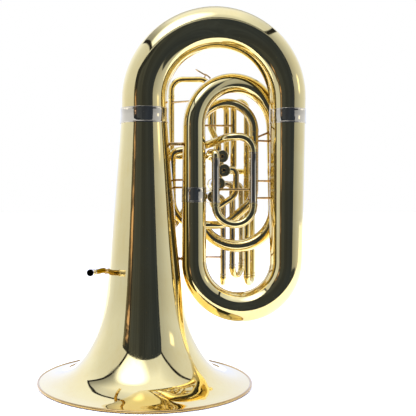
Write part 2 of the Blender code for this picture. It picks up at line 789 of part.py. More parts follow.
def third_loop_route():
    """Up one leg of the third slide, over the upper loop, and down into the third valve."""
    leg = THIRD_LEGS[0]
    corner = (LOOP_LEG - leg).length / 2
    corners = [
        at(leg, SLIDE_BOW_Z[3] + GAP / 2),
        at(leg, LOOP_CROWN_Z),
        at(LOOP_LEG, LOOP_CROWN_Z),
        at(LOOP_LEG, valve_place(3).z),
        port(3, LOOP_LEG.y),
    ]
    return bent_route(corners, [corner * 0.9999, corner * 0.9999, PORT_BEND])


def make_sleeves(name, number, legs, routes):
    """Both sleeves of a valve slide, with the link between them, cut to the valve's casing."""
    bow_z = SLIDE_BOW_Z[number]
    across = (legs[1] - legs[0]).normalized()
    plain = taper(PORT_RADIUS, PORT_RADIUS)
    first = tube(name, routes[0], plain, BRASS, reference=across)
    second = tube(f"{name}_far", routes[1], plain, BRASS, reference=across)
    add_boolean(first, helper(second), "UNION")
    link_z = bow_z + 0.0350
    link(first, f"{name}_link", at(legs[0], link_z), at(legs[1], link_z), PORT_RADIUS)
    add_boolean(first, SPACES[number], "DIFFERENCE")
    return first


def make_lower_slides():
    """The three slides whose bows hang down, and their sleeves."""
    routes = [sleeve_route(1, leg, SLIDE_BOW_Z[1]) for leg in FIRST_LEGS]
    sleeves = make_sleeves("first_slide_sleeves", 1, FIRST_LEGS, routes)
    stop = SECOND_RADII[0] + 2 * GAP
    near, far = at(FIRST_LEGS[0], FIRST_STAY_Z[0]), Vector((SECOND_X, 0.0, FIRST_STAY_Z[1]))
    brace(sleeves, "first_slide_brace", near, PORT_RADIUS, far, stop)
    routes = [sleeve_route(2, leg, SLIDE_BOW_Z[2]) for leg in SECOND_LEGS]
    make_sleeves("second_slide_sleeves", 2, SECOND_LEGS, routes)
    routes = [third_loop_route(), sleeve_route(3, THIRD_LEGS[1], SLIDE_BOW_Z[3])]
    tubing = make_sleeves("third_valve_tubing", 3, THIRD_LEGS, routes)
    stay_z = 0.6040
    second = Vector((SECOND_X, 0.0, stay_z))
    stop = SECOND_RADII[2] + 5 * GAP
    brace(tubing, "third_tubing_brace", at(LOOP_LEG, stay_z), PORT_RADIUS, second, stop)

    names = ("first_valve_slide", "second_valve_slide", "third_valve_slide")
    for number, (name, legs) in enumerate(zip(names, (FIRST_LEGS, SECOND_LEGS, THIRD_LEGS)), start=1):
        first, second = legs
        stop = SLIDE_BOW_Z[number]
        corner = (second - first).length / 2
        corners, bends = slide_corners(first, second, stop, -1, LEG_LENGTH, 0.0010, corner)
        pivot = at((first + second) / 2, stop)
        across = (second - first).normalized()
        radii = (LEG_RADIUS, PORT_RADIUS)
        stepped_slide(name, corners, bends, *radii, LEG_LENGTH + GAP, pivot, across)


def make_fourth_slide():
    """The wide upper slide of the fourth valve, its two sleeves and its short inner loop."""
    left, right = FOURTH_LEGS
    plain = taper(PORT_RADIUS, PORT_RADIUS)
    port_z = valve_place(4).z + 0.0035
    corners = [
        at(left, FOURTH_STOP_Z - GAP / 2),
        at(left, port_z),
        Vector((valve_place(4).x, left.y, port_z)),
    ]
    sleeve_left = tube("fourth_sleeve_left", bent_route(corners, [0.0160]), plain, BRASS)
    add_boolean(sleeve_left, SPACES[4], "DIFFERENCE")
    stay_z = 0.6620
    bow_side = Vector((0.1290, 0.0040, stay_z))
    brace(sleeve_left, "fourth_slide_brace", at(left, stay_z), PORT_RADIUS, bow_side, 0.0268)

    corners = [
        at(right, FOURTH_STOP_Z - GAP / 2),
        at(right, 0.6000),
        Vector((0.1810, 0.0720, 0.5600)),
        Vector((0.1810, 0.0720, valve_place(4).z)),
    ]
    sleeve_right = tube("fourth_sleeve_right", bent_route(corners, [0.0250, 0.0250]), plain, BRASS)
    add_boolean(sleeve_right, SPACES[4], "DIFFERENCE")

    near, far = plan(0.2056, 0.1100), plan(0.1741, 0.1200)
    corner = (far - near).length / 2
    crest = 0.6600
    corners = [
        port(4, near.y),
        at(near, valve_place(4).z),
        at(near, crest),
        at(far, crest),
        at(far, 0.5750),
        Vector((0.1815, far.y, 0.5550)),
        Vector((0.1815, far.y, valve_place(4).z)),
    ]
    bends = [0.0110, corner * 0.9999, corner * 0.9999, 0.0200, 0.0200]
    loop = tube("fourth_valve_loop", bent_route(corners, bends), plain, BRASS, reference=DEPTH)
    add_boolean(loop, SPACES[4], "DIFFERENCE")

    straight = FOURTH_CROWN_Z - FOURTH_CORNER - FOURTH_STOP_Z
    corners, bends = slide_corners(left, right, FOURTH_STOP_Z, 1, LEG_LENGTH, straight, FOURTH_CORNER)
    pivot = at((left + right) / 2, FOURTH_STOP_Z)
    radii = (LEG_RADIUS, PORT_RADIUS)
    slide = stepped_slide("fourth_valve_slide", corners, bends, *radii, LEG_LENGTH + GAP, pivot)
    foot, way = nipple_place()
    braze_rod(slide, "nipple", foot - way * 0.0023, foot + way * 0.0022, 0.0030)


def right_bend_centre():
    """What the fourth slide's right bend turns about."""
    right = FOURTH_LEGS[1]
    return Vector((right.x - FOURTH_CORNER, right.y, FOURTH_CROWN_Z - FOURTH_CORNER))


def nipple_place():
    """Foot and direction of the water key's nipple, on the outside of the slide's right bend."""
    way = Vector((math.sin(NIPPLE_ANGLE), 0.0, math.cos(NIPPLE_ANGLE)))
    return right_bend_centre() + way * (FOURTH_CORNER + PORT_RADIUS), way


def make_water_key():
    """A lever with a hub, a touch plate and a pad over the nipple, and the saddle that carries it."""
    foot, way = nipple_place()
    pad_end = foot + way * 0.0065
    corners = [KEY_TOUCH, KEY_PIVOT + Vector((-0.0035, 0.0, 0.0017)), KEY_PIVOT + SIDE * 0.0030, pad_end]
    route = bent_route(corners, [0.0060, 0.0060])
    lever = rod("water_key", route, KEY_ARM_RADIUS, BRASS, SMALL_SIDES, DEPTH, KEY_PIVOT)
    pad = [(0, 0.0027), (0.0048, 0.0027), (0.0048, 0.0055), (0.0030, 0.0068), (0, 0.0068)]
    add_boolean(lever, helper(lathe("key_pad", pad, BRASS, foot, way, SMALL_SIDES)), "UNION")
    plate_way = (KEY_PIVOT - KEY_TOUCH).cross(DEPTH).normalized()
    plate = cylinder("key_plate", KEY_TOUCH, plate_way, 0.0050, -0.0010, 0.0012, SMALL_SIDES)
    add_boolean(lever, plate, "UNION")
    hub = cylinder("key_hub", KEY_PIVOT, DEPTH, 0.0028, -0.0025, 0.0025, SMALL_SIDES)
    add_boolean(lever, hub, "UNION")
    hole = cylinder("key_hole", KEY_PIVOT, DEPTH, 0.0015, -0.0060, 0.0060, SMALL_SIDES)
    add_boolean(lever, hole, "DIFFERENCE")

    pin = [(0, -0.0054), (0.0011, -0.0054), (0.0011, 0.0054), (0, 0.0054)]
    saddle = lathe("water_key_saddle", pin, BRASS, KEY_PIVOT, DEPTH, SMALL_SIDES, KEY_PIVOT)
    down = right_bend_centre() - KEY_PIVOT
    reach = down.length - SADDLE_FOOT
    for name, y in (("front_post", -0.0043), ("back_post", 0.0043)):
        post = cylinder(name, KEY_PIVOT + DEPTH * y, down.normalized(), 0.0010, -0.0014, reach, SMALL_SIDES)
        add_boolean(saddle, post, "UNION")


def make_outlet_and_crossover():
    """From the fourth valve to the main tuning slide, and from the third valve round to the first."""
    left = plan(MAIN_LEFT_X, MAIN_Y)
    corners = [
        at(left, MAIN_LEFT_TOP_Z + GAP),
        at(left, 0.5345),
        Vector((0.1560, 0.0120, 0.5350)),
        Vector((0.1520, 0.0460, 0.5265)),
        port(4, 0.0460),
    ]
    route = bent_route(corners, [0.0090, 0.0160, 0.0120])
    outlet = tube("valve_outlet_tube", route, taper(0.0092, 0.0085), BRASS)
    add_boolean(outlet, SPACES[4], "DIFFERENCE")

    y = 0.0350
    corners = [
        port(3, y),
        Vector((0.2195, y, 0.4990)),
        Vector((0.2195, y, 0.4350)),
        Vector((valve_place(1).x, y, 0.3985)),
        port(1, y),
    ]
    route = bent_route(corners, [0.0120, 0.0280, 0.0100])
    crossover = tube("crossover_tube", route, taper(0.0072, 0.0072), BRASS, reference=DEPTH)
    add_boolean(crossover, SPACES[3], "DIFFERENCE")
    add_boolean(crossover, SPACES[1], "DIFFERENCE")


# Leadpipe


def make_leadpipe():
    """From the receiver round the far side of the bell to the first valve."""
    way = (RECEIVER_FOOT - RECEIVER_MOUTH).normalized()
    points = [
        RECEIVER_FOOT + way * GAP,
        RECEIVER_FOOT + way * 0.0080,
        Vector((-0.1080, -0.0120, 0.2574)),
        LEADPIPE_BRACE,
        Vector((-0.0882, 0.0600, 0.2504)),
        Vector((-0.0450, 0.1020, 0.2560)),
        Vector((0.0250, 0.1170, 0.3000)),
        Vector((0.0800, 0.1090, 0.3650)),
        Vector((0.1150, 0.1020, 0.4200)),
        port(1, 0.1000) - SIDE * 0.0200,
        port(1, 0.1000),
    ]
    pipe = tube("leadpipe", smooth_route(points), taper(*LEADPIPE_RADII), BRASS, reference=UP)
    add_boolean(pipe, SPACES[1], "DIFFERENCE")

    length = (RECEIVER_FOOT - RECEIVER_MOUTH).length
    outer = RECEIVER_RADIUS
    profile = [
        (outer, 0.0),
        (outer, 0.0050),
        (outer - 0.0007, 0.0060),
        (outer - 0.0009, length - 0.0140),
        (outer, length - 0.0120),
        (outer, length - 0.0040),
        (outer - 0.0012, length),
        (LEADPIPE_RADII[0] - WALL, length),
        (RECEIVER_BORE, 0.0),
    ]
    lathe("mouthpiece_receiver", profile, NICKEL, RECEIVER_MOUTH, way, VALVE_SIDES)

    inward = Vector((-LEADPIPE_BRACE.x, -LEADPIPE_BRACE.y, 0.0)).normalized()
    start = LEADPIPE_RADII[0] + 3 * GAP
    flange = 0.0055
    end = LEADPIPE_BRACE.xy.length - bell_radius(LEADPIPE_BRACE.z - flange) - GAP
    stay = [(0, start), (0.0030, start), (0.0030, end - 0.0014), (flange, end), (0, end)]
    lathe("leadpipe_brace", stay, BRASS, LEADPIPE_BRACE, inward, SMALL_SIDES)


make_bell_and_outer_branch()
make_top_bow_and_second_branch()
make_second_bow_to_fifth_branch()
make_return_and_crossing()
make_main_sleeves()
make_main_slide()
for valve in (1, 2, 3, 4):
    make_casing(valve)
    make_caps(valve)
    make_piston(valve)
    make_spring(valve)
make_lower_slides()
make_fourth_slide()
make_water_key()
make_outlet_and_crossover()
make_leadpipe()
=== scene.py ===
"""Visual model of the four-valve tuba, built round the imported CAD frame.

Points are written in the bell's frame, X = Y = 0 on the bell's axis, and move by SHIFT on the way
into a mesh, as they do in the CAD model.
"""

import math

import bpy
import numpy as np
from mathutils import Matrix, Vector


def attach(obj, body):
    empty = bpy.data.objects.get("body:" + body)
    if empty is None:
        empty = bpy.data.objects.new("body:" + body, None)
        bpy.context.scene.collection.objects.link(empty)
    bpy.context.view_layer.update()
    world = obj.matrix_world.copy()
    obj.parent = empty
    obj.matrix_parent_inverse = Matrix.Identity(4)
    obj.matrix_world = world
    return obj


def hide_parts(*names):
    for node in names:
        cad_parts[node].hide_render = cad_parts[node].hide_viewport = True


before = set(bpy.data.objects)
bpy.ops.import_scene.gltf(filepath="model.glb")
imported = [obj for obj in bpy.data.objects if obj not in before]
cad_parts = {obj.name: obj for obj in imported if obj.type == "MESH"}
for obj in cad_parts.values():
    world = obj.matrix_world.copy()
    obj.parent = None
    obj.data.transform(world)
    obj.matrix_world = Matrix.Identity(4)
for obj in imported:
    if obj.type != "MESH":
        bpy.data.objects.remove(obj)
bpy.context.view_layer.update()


def xyz(x, y, z=0.0):
    """A point, on the table's plane unless its height is given."""
    return Vector((x, y, z))


# The CAD model's dimensions, in metres
RIM_RADIUS = 0.25
THROAT_Z, THROAT_RADIUS = 0.6204, 0.055
BRANCH_X, BRANCH_RADIUS = 0.3357, 0.0415
SHIFT = Vector((-(BRANCH_X + BRANCH_RADIUS + 0.0023 - RIM_RADIUS) / 2, 0.0, 0.0))
WALL = 0.0009
GAP = 0.0003
BELL_OUTLINE = (
    (0.055, 0.6203), (0.066, 0.47), (0.0774, 0.33), (0.0877, 0.23), (0.0975, 0.165),
    (0.1095, 0.12), (0.125, 0.085), (0.144, 0.055), (0.165, 0.032), (0.189, 0.018),
    (0.216, 0.009), (0.244, 0.0048),
)
BEAD_RADIUS = 0.0032
BOTTOM_BOW_Z, BOTTOM_BOW_MIDDLE = 0.6597, 0.0512
TOP_BOW_Z, TOP_BOW_MIDDLE = 0.281, 0.035
OUTER_TAPER_Z, OUTER_FOOT_X, OUTER_FOOT_RADIUS = 0.6, 0.3317, 0.0381
BELL_FERRULE_Z, BELL_FERRULE_FOOT = (0.6022, 0.6386), 0.0565
BOW_FERRULE_Z, SECOND_FERRULE_Z = (0.6022, 0.6362), (0.419, 0.4535)
SECOND_X, SECOND_JOINT_Z, SECOND_TOP_Z = 0.1164, 0.4364, 0.597
SECOND_RADII = (0.0291, 0.028, 0.0265)
THIRD_X, THIRD_Y, THIRD_BOW_Z = 0.3186, 0.066, 0.4046
THIRD_RADII = (0.0214, 0.0165)
FOURTH_X, FOURTH_Y, FOURTH_BOW_Z = 0.1311, 0.068, 0.59
FOURTH_RADII = (0.0135, 0.012)
FIFTH_X, FIFTH_Y, FIFTH_RADIUS, FIFTH_TURN_Z = 0.2627, 0.036, 0.0108, 0.4247
RETURN_X, RETURN_Y, RETURN_Z, RETURN_RADIUS = 0.1951, 0.04, 0.3635, 0.0094
BESIDE_BELL_X, BESIDE_BELL_Y, BESIDE_JOINT_Z = 0.0665, 0.045, 0.515
CROSSING_Z = 0.5717
BRACE_HEIGHTS = (0.5657, 0.4691, 0.4281)
BRACE_AIMS = (0.0, 0.0, 0.0037)
SLANT_RISE = (0.0048, 0.0284)
STUB_HEIGHTS = (0.4713, 0.4534)
LOW_BELL_BRACE_Z, HIGH_BELL_BRACE_Z = 0.2865, 0.5553
FIRST_STAY_Z, THIRD_STAY_Z = (0.2818, 0.2903), (0.6055, 0.599)
FOURTH_STAY = (0.6638, xyz(0.129, 0.004, 0.658), 0.0262)
MAIN_Y, MAIN_LEFT_X, MAIN_RIGHT_X = -0.012, 0.166, 0.2535
MAIN_STOP_Z, MAIN_BOW_Z, MAIN_LEG_TOP_Z = 0.4171, 0.411, 0.5
MAIN_LEFT_TOP_Z, MAIN_RIGHT_TOP_Z, MAIN_BRACE_Z = 0.522, 0.5357, 0.4486
MAIN_SLEEVE_RADIUS, MAIN_LEG_RADIUS, MAIN_TUBE_RADIUS = 0.0093, 0.0081, 0.0092
VALVE_ONE = xyz(0.1636, 0.0, 0.4309)
VALVE_STEP = xyz(0.012, 0.0, 0.0315)
FOURTH_STEP = xyz(-0.0044, 0.0, 0.0327)
CASING_RADIUS, CASING_BORE = 0.0135, 0.0122
CASING_START_Y, CASING_END_Y = 0.012, 0.15
CAP_RADIUS = 0.015
PISTON_RADIUS, PISTON_START_Y, PISTON_END_Y = 0.0118, 0.075, 0.148
SPRING_POCKET, PISTON_STROKE = 0.01, 0.017
STEM_RADIUS, STEM_END_Y = 0.0028, 0.1815
BUTTON_RADIUS = 0.01
KNUCKLE_DEPTHS = (0.06, 0.102)
PORT_RADIUS, PORT_BEND, LEG_RADIUS, LEG_LENGTH = 0.0078, 0.015, 0.0066, 0.06
FIRST_LEGS = (xyz(0.1942, 0.09), xyz(0.1982, 0.125))
SECOND_LEGS = (xyz(0.2176, 0.09), xyz(0.2448, 0.128))
THIRD_LEGS = (xyz(0.2545, 0.1), xyz(0.2727, 0.132))
SLIDE_BOW_Z = {1: 0.2342, 2: 0.2587, 3: 0.2338}
LINK_RISE = 0.035
LOOP_LEG, LOOP_CROWN_Z = xyz(0.2199, 0.085), 0.6654
FOURTH_LEGS = (xyz(0.0671, 0.092), xyz(0.164, 0.092))
FOURTH_STOP_Z, FOURTH_CROWN_Z, FOURTH_CORNER = 0.676, 0.7205, 0.028
FOURTH_PORT_RISE = 0.0035
OUTLET_Y, CROSSOVER_X, CROSSOVER_Y, LEADPIPE_Y = 0.046, 0.2195, 0.035, 0.1
RECEIVER_MOUTH = xyz(-0.119, -0.11, 0.266)
RECEIVER_FOOT, RECEIVER_RADIUS = xyz(-0.1151, -0.062, 0.2622), 0.0079
LEADPIPE_BRACE = xyz(-0.0977, 0.03, 0.2555)
KEY_PIVOT = xyz(0.1515, 0.092, 0.7318)
KEY_TOUCH = xyz(0.1305, 0.092, 0.7437)
SADDLE_FOOT = 0.034
NIPPLE_ANGLE = math.radians(45)

# Radius of a rod and of its feet
MAIN_ROD, LINK_ROD, FIRST_STAY_ROD = (0.0027, 0.0042), (0.0019, 0.0034), (0.0024, 0.004)
LEADPIPE_ROD, LOW_BELL_ROD, HIGH_BELL_ROD = (0.0026, 0.0052), (0.0024, 0.0058), (0.004, 0.0052)

# Where a tube's route ends, inside the casing that its end is then cut to
PORT_START = CASING_RADIUS - 0.004
# The step from a slide's leg to its wider crook
SHOULDER = 0.0005
# How far a rod's foot goes into its tube
ROOT = 0.0006
# Two bends that meet get this share of the full radius, so that the run between them isn't lost
BOW_SHARE, LOOP_SHARE = 0.99999, 0.9999

UP = xyz(0.0, 0.0, 1.0)
SIDE = xyz(1.0, 0.0, 0.0)
DEPTH = xyz(0.0, 1.0)

BELL_SIDES, FERRULE_SIDES, BIG_SIDES, TUBE_SIDES = 160, 96, 72, 48
SMALL_SIDES, KEY_SIDES, ROD_SIDES = 32, 24, 16
BIG_STEP, SMALL_STEP, SLIDE_STEP = 4, 8, 6


# Routes and shells


def at(place, z):
    """The point over or under a place, at a height."""
    return xyz(place.x, place.y, z)


def fillet(corner, before, after, radius, step):
    """Points and directions along the bend that cuts a corner, at most this many degrees apart."""
    angle = before.angle(after)
    start = corner - before * radius * math.tan(angle / 2)
    normal = before.cross(after).normalized()
    centre = start + normal.cross(before) * radius
    count = max(3, math.ceil(math.degrees(angle) / step - 0.01))
    bend = []
    for i in range(count + 1):
        turn = Matrix.Rotation(angle * i / count, 3, normal)
        bend.append((centre + turn @ (start - centre), (turn @ before).normalized()))
    return bend


def bent_route(corners, radii, step=SMALL_STEP):
    """Straight runs joined by bends. radii has one entry per inner corner, 0 for a plain point."""
    route = [(corners[0], (corners[1] - corners[0]).normalized())]
    for i, radius in enumerate(radii, start=1):
        before = (corners[i] - corners[i - 1]).normalized()
        after = (corners[i + 1] - corners[i]).normalized()
        if radius:
            route.extend(fillet(corners[i], before, after, radius, step))
        else:
            route.append((corners[i], after))
    route.append((corners[-1], (corners[-1] - corners[-2]).normalized()))
    kept = [route[0]]
    for point, direction in route[1:]:
        if (point - kept[-1][0]).length > 1e-5:
            kept.append((point, direction))
    return kept


def straight_route(start, end, stops=()):
    direction = (end - start).normalized()
    points = [start, *(start + direction * stop for stop in stops), end]
    return [(point, direction) for point in points]


def bow_route(start, end, z, sense=1, step=BIG_STEP):
    """A half turn from one place to another, upwards from z or, with sense -1, downwards."""
    radius = (end - start).length / 2
    crest = z + sense * radius
    corners = [at(start, z), at(start, crest), at(end, crest), at(end, z)]
    return bent_route(corners, [radius * BOW_SHARE] * 2, step)


def smooth_route(points, spans):
    """A Catmull-Rom curve through the points, in this many steps from each to the next."""
    padded = [2 * points[0] - points[1], *points, 2 * points[-1] - points[-2]]
    route = []
    for i in range(1, len(padded) - 2):
        p0, p1, p2, p3 = padded[i - 1 : i + 3]
        count = spans + 1 if i == len(padded) - 3 else spans
        square = 2 * p0 - 5 * p1 + 4 * p2 - p3
        cube = 3 * p1 - p0 - 3 * p2 + p3
        for k in range(count):
            t = k / spans
            point = 0.5 * (2 * p1 + (p2 - p0) * t + square * t**2 + cube * t**3)
            slope = (p2 - p0) + 2 * square * t + 3 * cube * t**2
            route.append((point, slope.normalized()))
    return route


def smooth_profile(points, spans):
    """(radius, height) points along a smooth line through these."""
    line = smooth_route([xyz(radius, height) for radius, height in points], spans)
    return [(point.x, point.y) for point, _ in line]


def rounded(profile, radius=0.0003):
    """A profile with its corners cut, so that they catch the light as real edges do."""
    cut = []
    for i, here in enumerate(profile):
        here = Vector(here)
        if i in (0, len(profile) - 1):
            cut.append(tuple(here))
            continue
        for other in (profile[i - 1], profile[i + 1]):
            way = Vector(other) - here
            cut.append(tuple(here + way.normalized() * min(radius, way.length / 3)))
    return cut


def even_ends(half, low, high):
    """A profile whose far end mirrors its near one. Heights in half count from each end."""
    near = [(radius, low + height) for radius, height in half]
    return near + [(radius, high - height) for radius, height in half[::-1]]


def lifted(profile, height):
    return [(radius, height + rise) for radius, rise in profile]


def placed(name, data):
    """A new object, in the scene."""
    obj = bpy.data.objects.new(name, data)
    bpy.context.scene.collection.objects.link(obj)
    return obj


class Shell:
    """Collects the surfaces of one piece."""

    def __init__(self):
        self.points = []
        self.faces = []

    def ring(self, centre, u, v, radius, sides):
        first = len(self.points)
        for k in range(sides):
            angle = 2 * math.pi * k / sides
            self.points.append(centre + (u * math.cos(angle) + v * math.sin(angle)) * radius)
        return list(range(first, first + sides))

    def skin(self, first, second):
        count = len(first)
        for k in range(count):
            j = (k + 1) % count
            self.faces.append((first[k], first[j], second[j], second[k]))

    def skin_all(self, rings):
        for first, second in zip(rings, rings[1:]):
            self.skin(first, second)

    def rings_along(self, route, radii, sides, reference):
        before = route[0][1]
        u = reference
        rings = []
        for (point, direction), radius in zip(route, radii):
            u = before.rotation_difference(direction) @ u
            u = (u - direction * u.dot(direction)).normalized()
            before = direction
            rings.append(self.ring(point, u, direction.cross(u), radius, sides))
        return rings

    def land(self, ring, direction, axis, radius):
        """Slides the points of an end ring along the tube, onto a cylinder that lies along Y."""
        way = Vector((direction.x, direction.z)).normalized()
        for index in ring:
            point = self.points[index]
            offset = Vector((point.x - axis.x, point.z - axis.z))
            b = offset.dot(way)
            root = b * b - offset.length_squared + radius * radius
            reach = -b - math.sqrt(max(root, 0.0))
            self.points[index] = point + xyz(way.x, 0.0, way.y) * reach

    def tube(self, route, sections, sides=SMALL_SIDES, reference=SIDE, lands=None):
        """A hollow tube. sections are (share of its length, outer radius) pairs; lands says which
        end sits on which valve: {0: number} for the first end, {-1: number} for the last."""
        along = [0.0]
        for (a, _), (b, _) in zip(route, route[1:]):
            along.append(along[-1] + (b - a).length)
        shares = [pair[0] for pair in sections]
        outer = np.interp([d / along[-1] for d in along], shares, [pair[1] for pair in sections])
        outside = self.rings_along(route, outer, sides, reference)
        inside = self.rings_along(route, outer - WALL, sides, reference)
        for end, number in (lands or {}).items():
            direction = route[end][1] if end else -route[end][1]
            for ring in (outside[end], inside[end]):
                self.land(ring, direction, valve_place(number), CASING_RADIUS - GAP)
        self.skin_all(outside)
        self.skin_all([ring[::-1] for ring in inside])
        self.skin(inside[0], outside[0])
        self.skin(outside[-1], inside[-1])

    def rod(self, route, radius, sides=SMALL_SIDES, reference=SIDE):
        rings = self.rings_along(route, [radius] * len(route), sides, reference)
        self.skin_all(rings)
        self.faces.append(tuple(rings[0][::-1]))
        self.faces.append(tuple(rings[-1]))

    def lathe(self, profile, foot, axis, sides, closed=False):
        """Turns (radius, height) points round an axis. closed joins the last point to the first."""
        reference = SIDE if abs(axis.dot(SIDE)) < 0.9 else UP
        u = (reference - axis * reference.dot(axis)).normalized()
        v = axis.cross(u)
        rings = []
        for radius, height in profile:
            centre = foot + axis * height
            if radius:
                rings.append(self.ring(centre, u, v, radius, sides))
            else:
                self.points.append(centre)
                rings.append([len(self.points) - 1])
        pairs = list(zip(rings, rings[1:]))
        if closed:
            pairs.append((rings[-1], rings[0]))
        for first, second in pairs:
            if len(first) == len(second):
                self.skin(first, second)
                continue
            if len(first) == 1:
                tip, edge = first[0], second[::-1]
            else:
                tip, edge = second[0], first
            for k in range(sides):
                self.faces.append((edge[k], edge[(k + 1) % sides], tip))

    def strut(self, start, end, radius=0.0025, foot=0.0042):
        """A brace rod with a flared foot at each end."""
        flare = [(0.0, 0.0), (foot, 0.0), (foot, 0.0008), (foot * 0.72, 0.0016)]
        flare += [(radius * 1.12, 0.003), (radius, 0.0046)]
        profile = even_ends(flare, 0.0, (end - start).length)
        self.lathe(profile, start, (end - start).normalized(), ROD_SIDES)

    def finish(self, name, material, body="horn", nodes=(), sharp=38):
        """Makes the piece. Faces that meet at more than sharp degrees keep a hard edge."""
        mesh = bpy.data.meshes.new(name)
        mesh.from_pydata([tuple(point + SHIFT) for point in self.points], [], self.faces)
        mesh.validate()
        mesh.materials.append(material)
        mesh.shade_smooth()
        mesh.set_sharp_from_angle(angle=math.radians(sharp))
        obj = placed(name, mesh)
        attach(obj, body)
        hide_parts(*nodes)

    def stand_for(self, node, material, body="horn", sharp=38):
        """Makes the piece that is seen in a CAD node's place."""
        self.finish(f"{node}_visual", material, body, [node], sharp)


def turned(profile, foot, axis, sides=SMALL_SIDES, closed=True):
    """A shell that is one turned profile."""
    shell = Shell()
    shell.lathe(profile, foot, axis, sides, closed)
    return shell


def taper(start, end):
    """Sections of a tube whose radius runs evenly from one end to the other."""
    return [(0.0, start), (1.0, end)]


def valve_place(number):
    """A point on a valve's axis, at Y = 0."""
    if number == 4:
        return VALVE_ONE + VALVE_STEP * 2 + FOURTH_STEP
    return VALVE_ONE + VALVE_STEP * (number - 1)


def port(number, y, from_point):
    """Where the route of a tube that comes from a point ends in a valve."""
    axis = valve_place(number) + DEPTH * y
    away = xyz(from_point.x - axis.x, 0.0, from_point.z - axis.z).normalized()
    return axis + away * PORT_START


# Materials


class Nodes:
    """A short way to write a node tree."""

    def __init__(self, tree):
        self.tree = tree
        tree.nodes.clear()

    def add(self, kind, inputs=None, **settings):
        node = self.tree.nodes.new(kind)
        for name, value in settings.items():
            setattr(node, name, value)
        self.feed(node, inputs or {})
        return node

    def feed(self, node, inputs):
        for name, value in inputs.items():
            self.put(node.inputs[name], value)

    def put(self, socket, value):
        if isinstance(value, bpy.types.NodeSocket):
            self.tree.links.new(value, socket)
        else:
            socket.default_value = value

    def math(self, operation, *values):
        node = self.add("ShaderNodeMath", operation=operation)
        for socket, value in zip(node.inputs, values):
            self.put(socket, value)
        return node.outputs[0]

    def times(self, first, second):
        return self.math("MULTIPLY", first, second)

    def scaled(self, value, factor, base):
        return self.math("MULTIPLY_ADD", value, factor, base)

    def ramp(self, value, low, high, to_low=0.0, to_high=1.0):
        """A smooth step from to_low at low to to_high at high."""
        node = self.add("ShaderNodeMapRange", interpolation_type="SMOOTHSTEP")
        for socket, number in zip(node.inputs, (value, low, high, to_low, to_high)):
            self.put(socket, number)
        return node.outputs[0]

    def band(self, value, low, high, soft):
        """1 between low and high, and 0 beyond, with edges this soft."""
        rise = self.ramp(value, low - soft / 2, low + soft / 2)
        return self.times(rise, self.ramp(value, high - soft / 2, high + soft / 2, 1.0, 0.0))

    def mix(self, factor, first, second, blend="MIX"):
        """Colours mixed; a bare number stands for a grey."""
        node = self.add("ShaderNodeMix", {"Factor": factor}, data_type="RGBA", blend_type=blend)
        for index, colour in ((6, first), (7, second)):
            grey = isinstance(colour, float)
            self.put(node.inputs[index], rgb(colour, colour, colour) if grey else colour)
        return node.outputs[2]

    def noise(self, vector, scale, detail=3.0, roughness=0.55, stretch=None):
        if stretch:
            vector = self.add("ShaderNodeMapping", {"Vector": vector, "Scale": stretch}).outputs[0]
        inputs = {"Vector": vector, "Scale": scale, "Detail": detail, "Roughness": roughness}
        return self.add("ShaderNodeTexNoise", inputs).outputs["Fac"]

    def bump(self, height, strength, distance):
        inputs = {"Height": height, "Strength": strength, "Distance": distance}
        return self.add("ShaderNodeBump", inputs).outputs["Normal"]


def rgb(*colour):
    return (*colour, 1.0)


def new_material(name, kind="ShaderNodeBsdfPrincipled"):
    """A material with one shader, and its texture coordinates."""
    material = bpy.data.materials.new(name)
    material.use_nodes = True
    nodes = Nodes(material.node_tree)
    shader = nodes.add(kind)
    nodes.add("ShaderNodeOutputMaterial", {"Surface": shader.outputs[0]})
    return material, nodes, shader, nodes.add("ShaderNodeTexCoord").outputs


def polished_metal(name, light, deep, smudge, wave, coat, turned=0.0, edge=(1.0, 1.0, 1.0)):
    """Polished metal: its tint drifts, the buffing leaves faint streaks, and hands leave smudges.

    wave is how far the surface undulates, turned how deep the marks of the lathe are, and edge
    the tint at grazing angles.
    """
    material, nodes, shader, coordinates = new_material(name)
    place = coordinates["Object"]
    drift = nodes.ramp(nodes.noise(place, 9.0, 4.0), 0.35, 0.7)
    streaks = nodes.ramp(nodes.noise(place, 1.0, 5.0, 0.6, (140.0, 140.0, 9.0)), 0.48, 0.78)
    amount = nodes.math("ADD", nodes.times(drift, 0.6), nodes.times(streaks, 0.4))
    smudges = nodes.ramp(nodes.noise(place, 26.0, 5.0, 0.62), 0.5, 0.72)
    rough = nodes.scaled(smudges, smudge, 0.035)
    normal = nodes.bump(nodes.noise(place, 17.0, 2.0, 0.5), wave, 0.004)
    if turned:
        lines = nodes.noise(place, 1.0, 3.0, 0.6, (3.0, 3.0, 1300.0))
        lines = nodes.bump(lines, turned, 0.0002)
        nodes.feed(lines.node, {"Normal": normal})
        normal = lines
    nodes.feed(shader, {
        "Base Color": nodes.mix(amount, rgb(*light), rgb(*deep)), "Metallic": 1.0,
        "Roughness": nodes.scaled(nodes.noise(place, 420.0, 2.0), 0.02, rough), "Normal": normal,
        "Specular Tint": rgb(*edge), "Coat Weight": coat, "Coat Roughness": 0.03, "Coat IOR": 1.45,
    })
    return material


def make_pearl():
    """Mother-of-pearl: a milky swirl of three tints under a gloss."""
    material, nodes, shader, coordinates = new_material("pearl")
    swirl = nodes.noise(coordinates["Object"], 160.0, 4.0, 0.6)
    ramp = nodes.add("ShaderNodeValToRGB", {"Fac": swirl})
    low, high = ramp.color_ramp.elements
    low.position, low.color = 0.32, rgb(0.62, 0.66, 0.66)
    high.position, high.color = 0.7, rgb(0.9, 0.82, 0.78)
    ramp.color_ramp.elements.new(0.5).color = rgb(0.86, 0.88, 0.84)
    rough = nodes.scaled(swirl, 0.15, 0.12)
    nodes.feed(shader, {"Base Color": ramp.outputs[0], "Roughness": rough, "Coat Weight": 0.6})
    return material


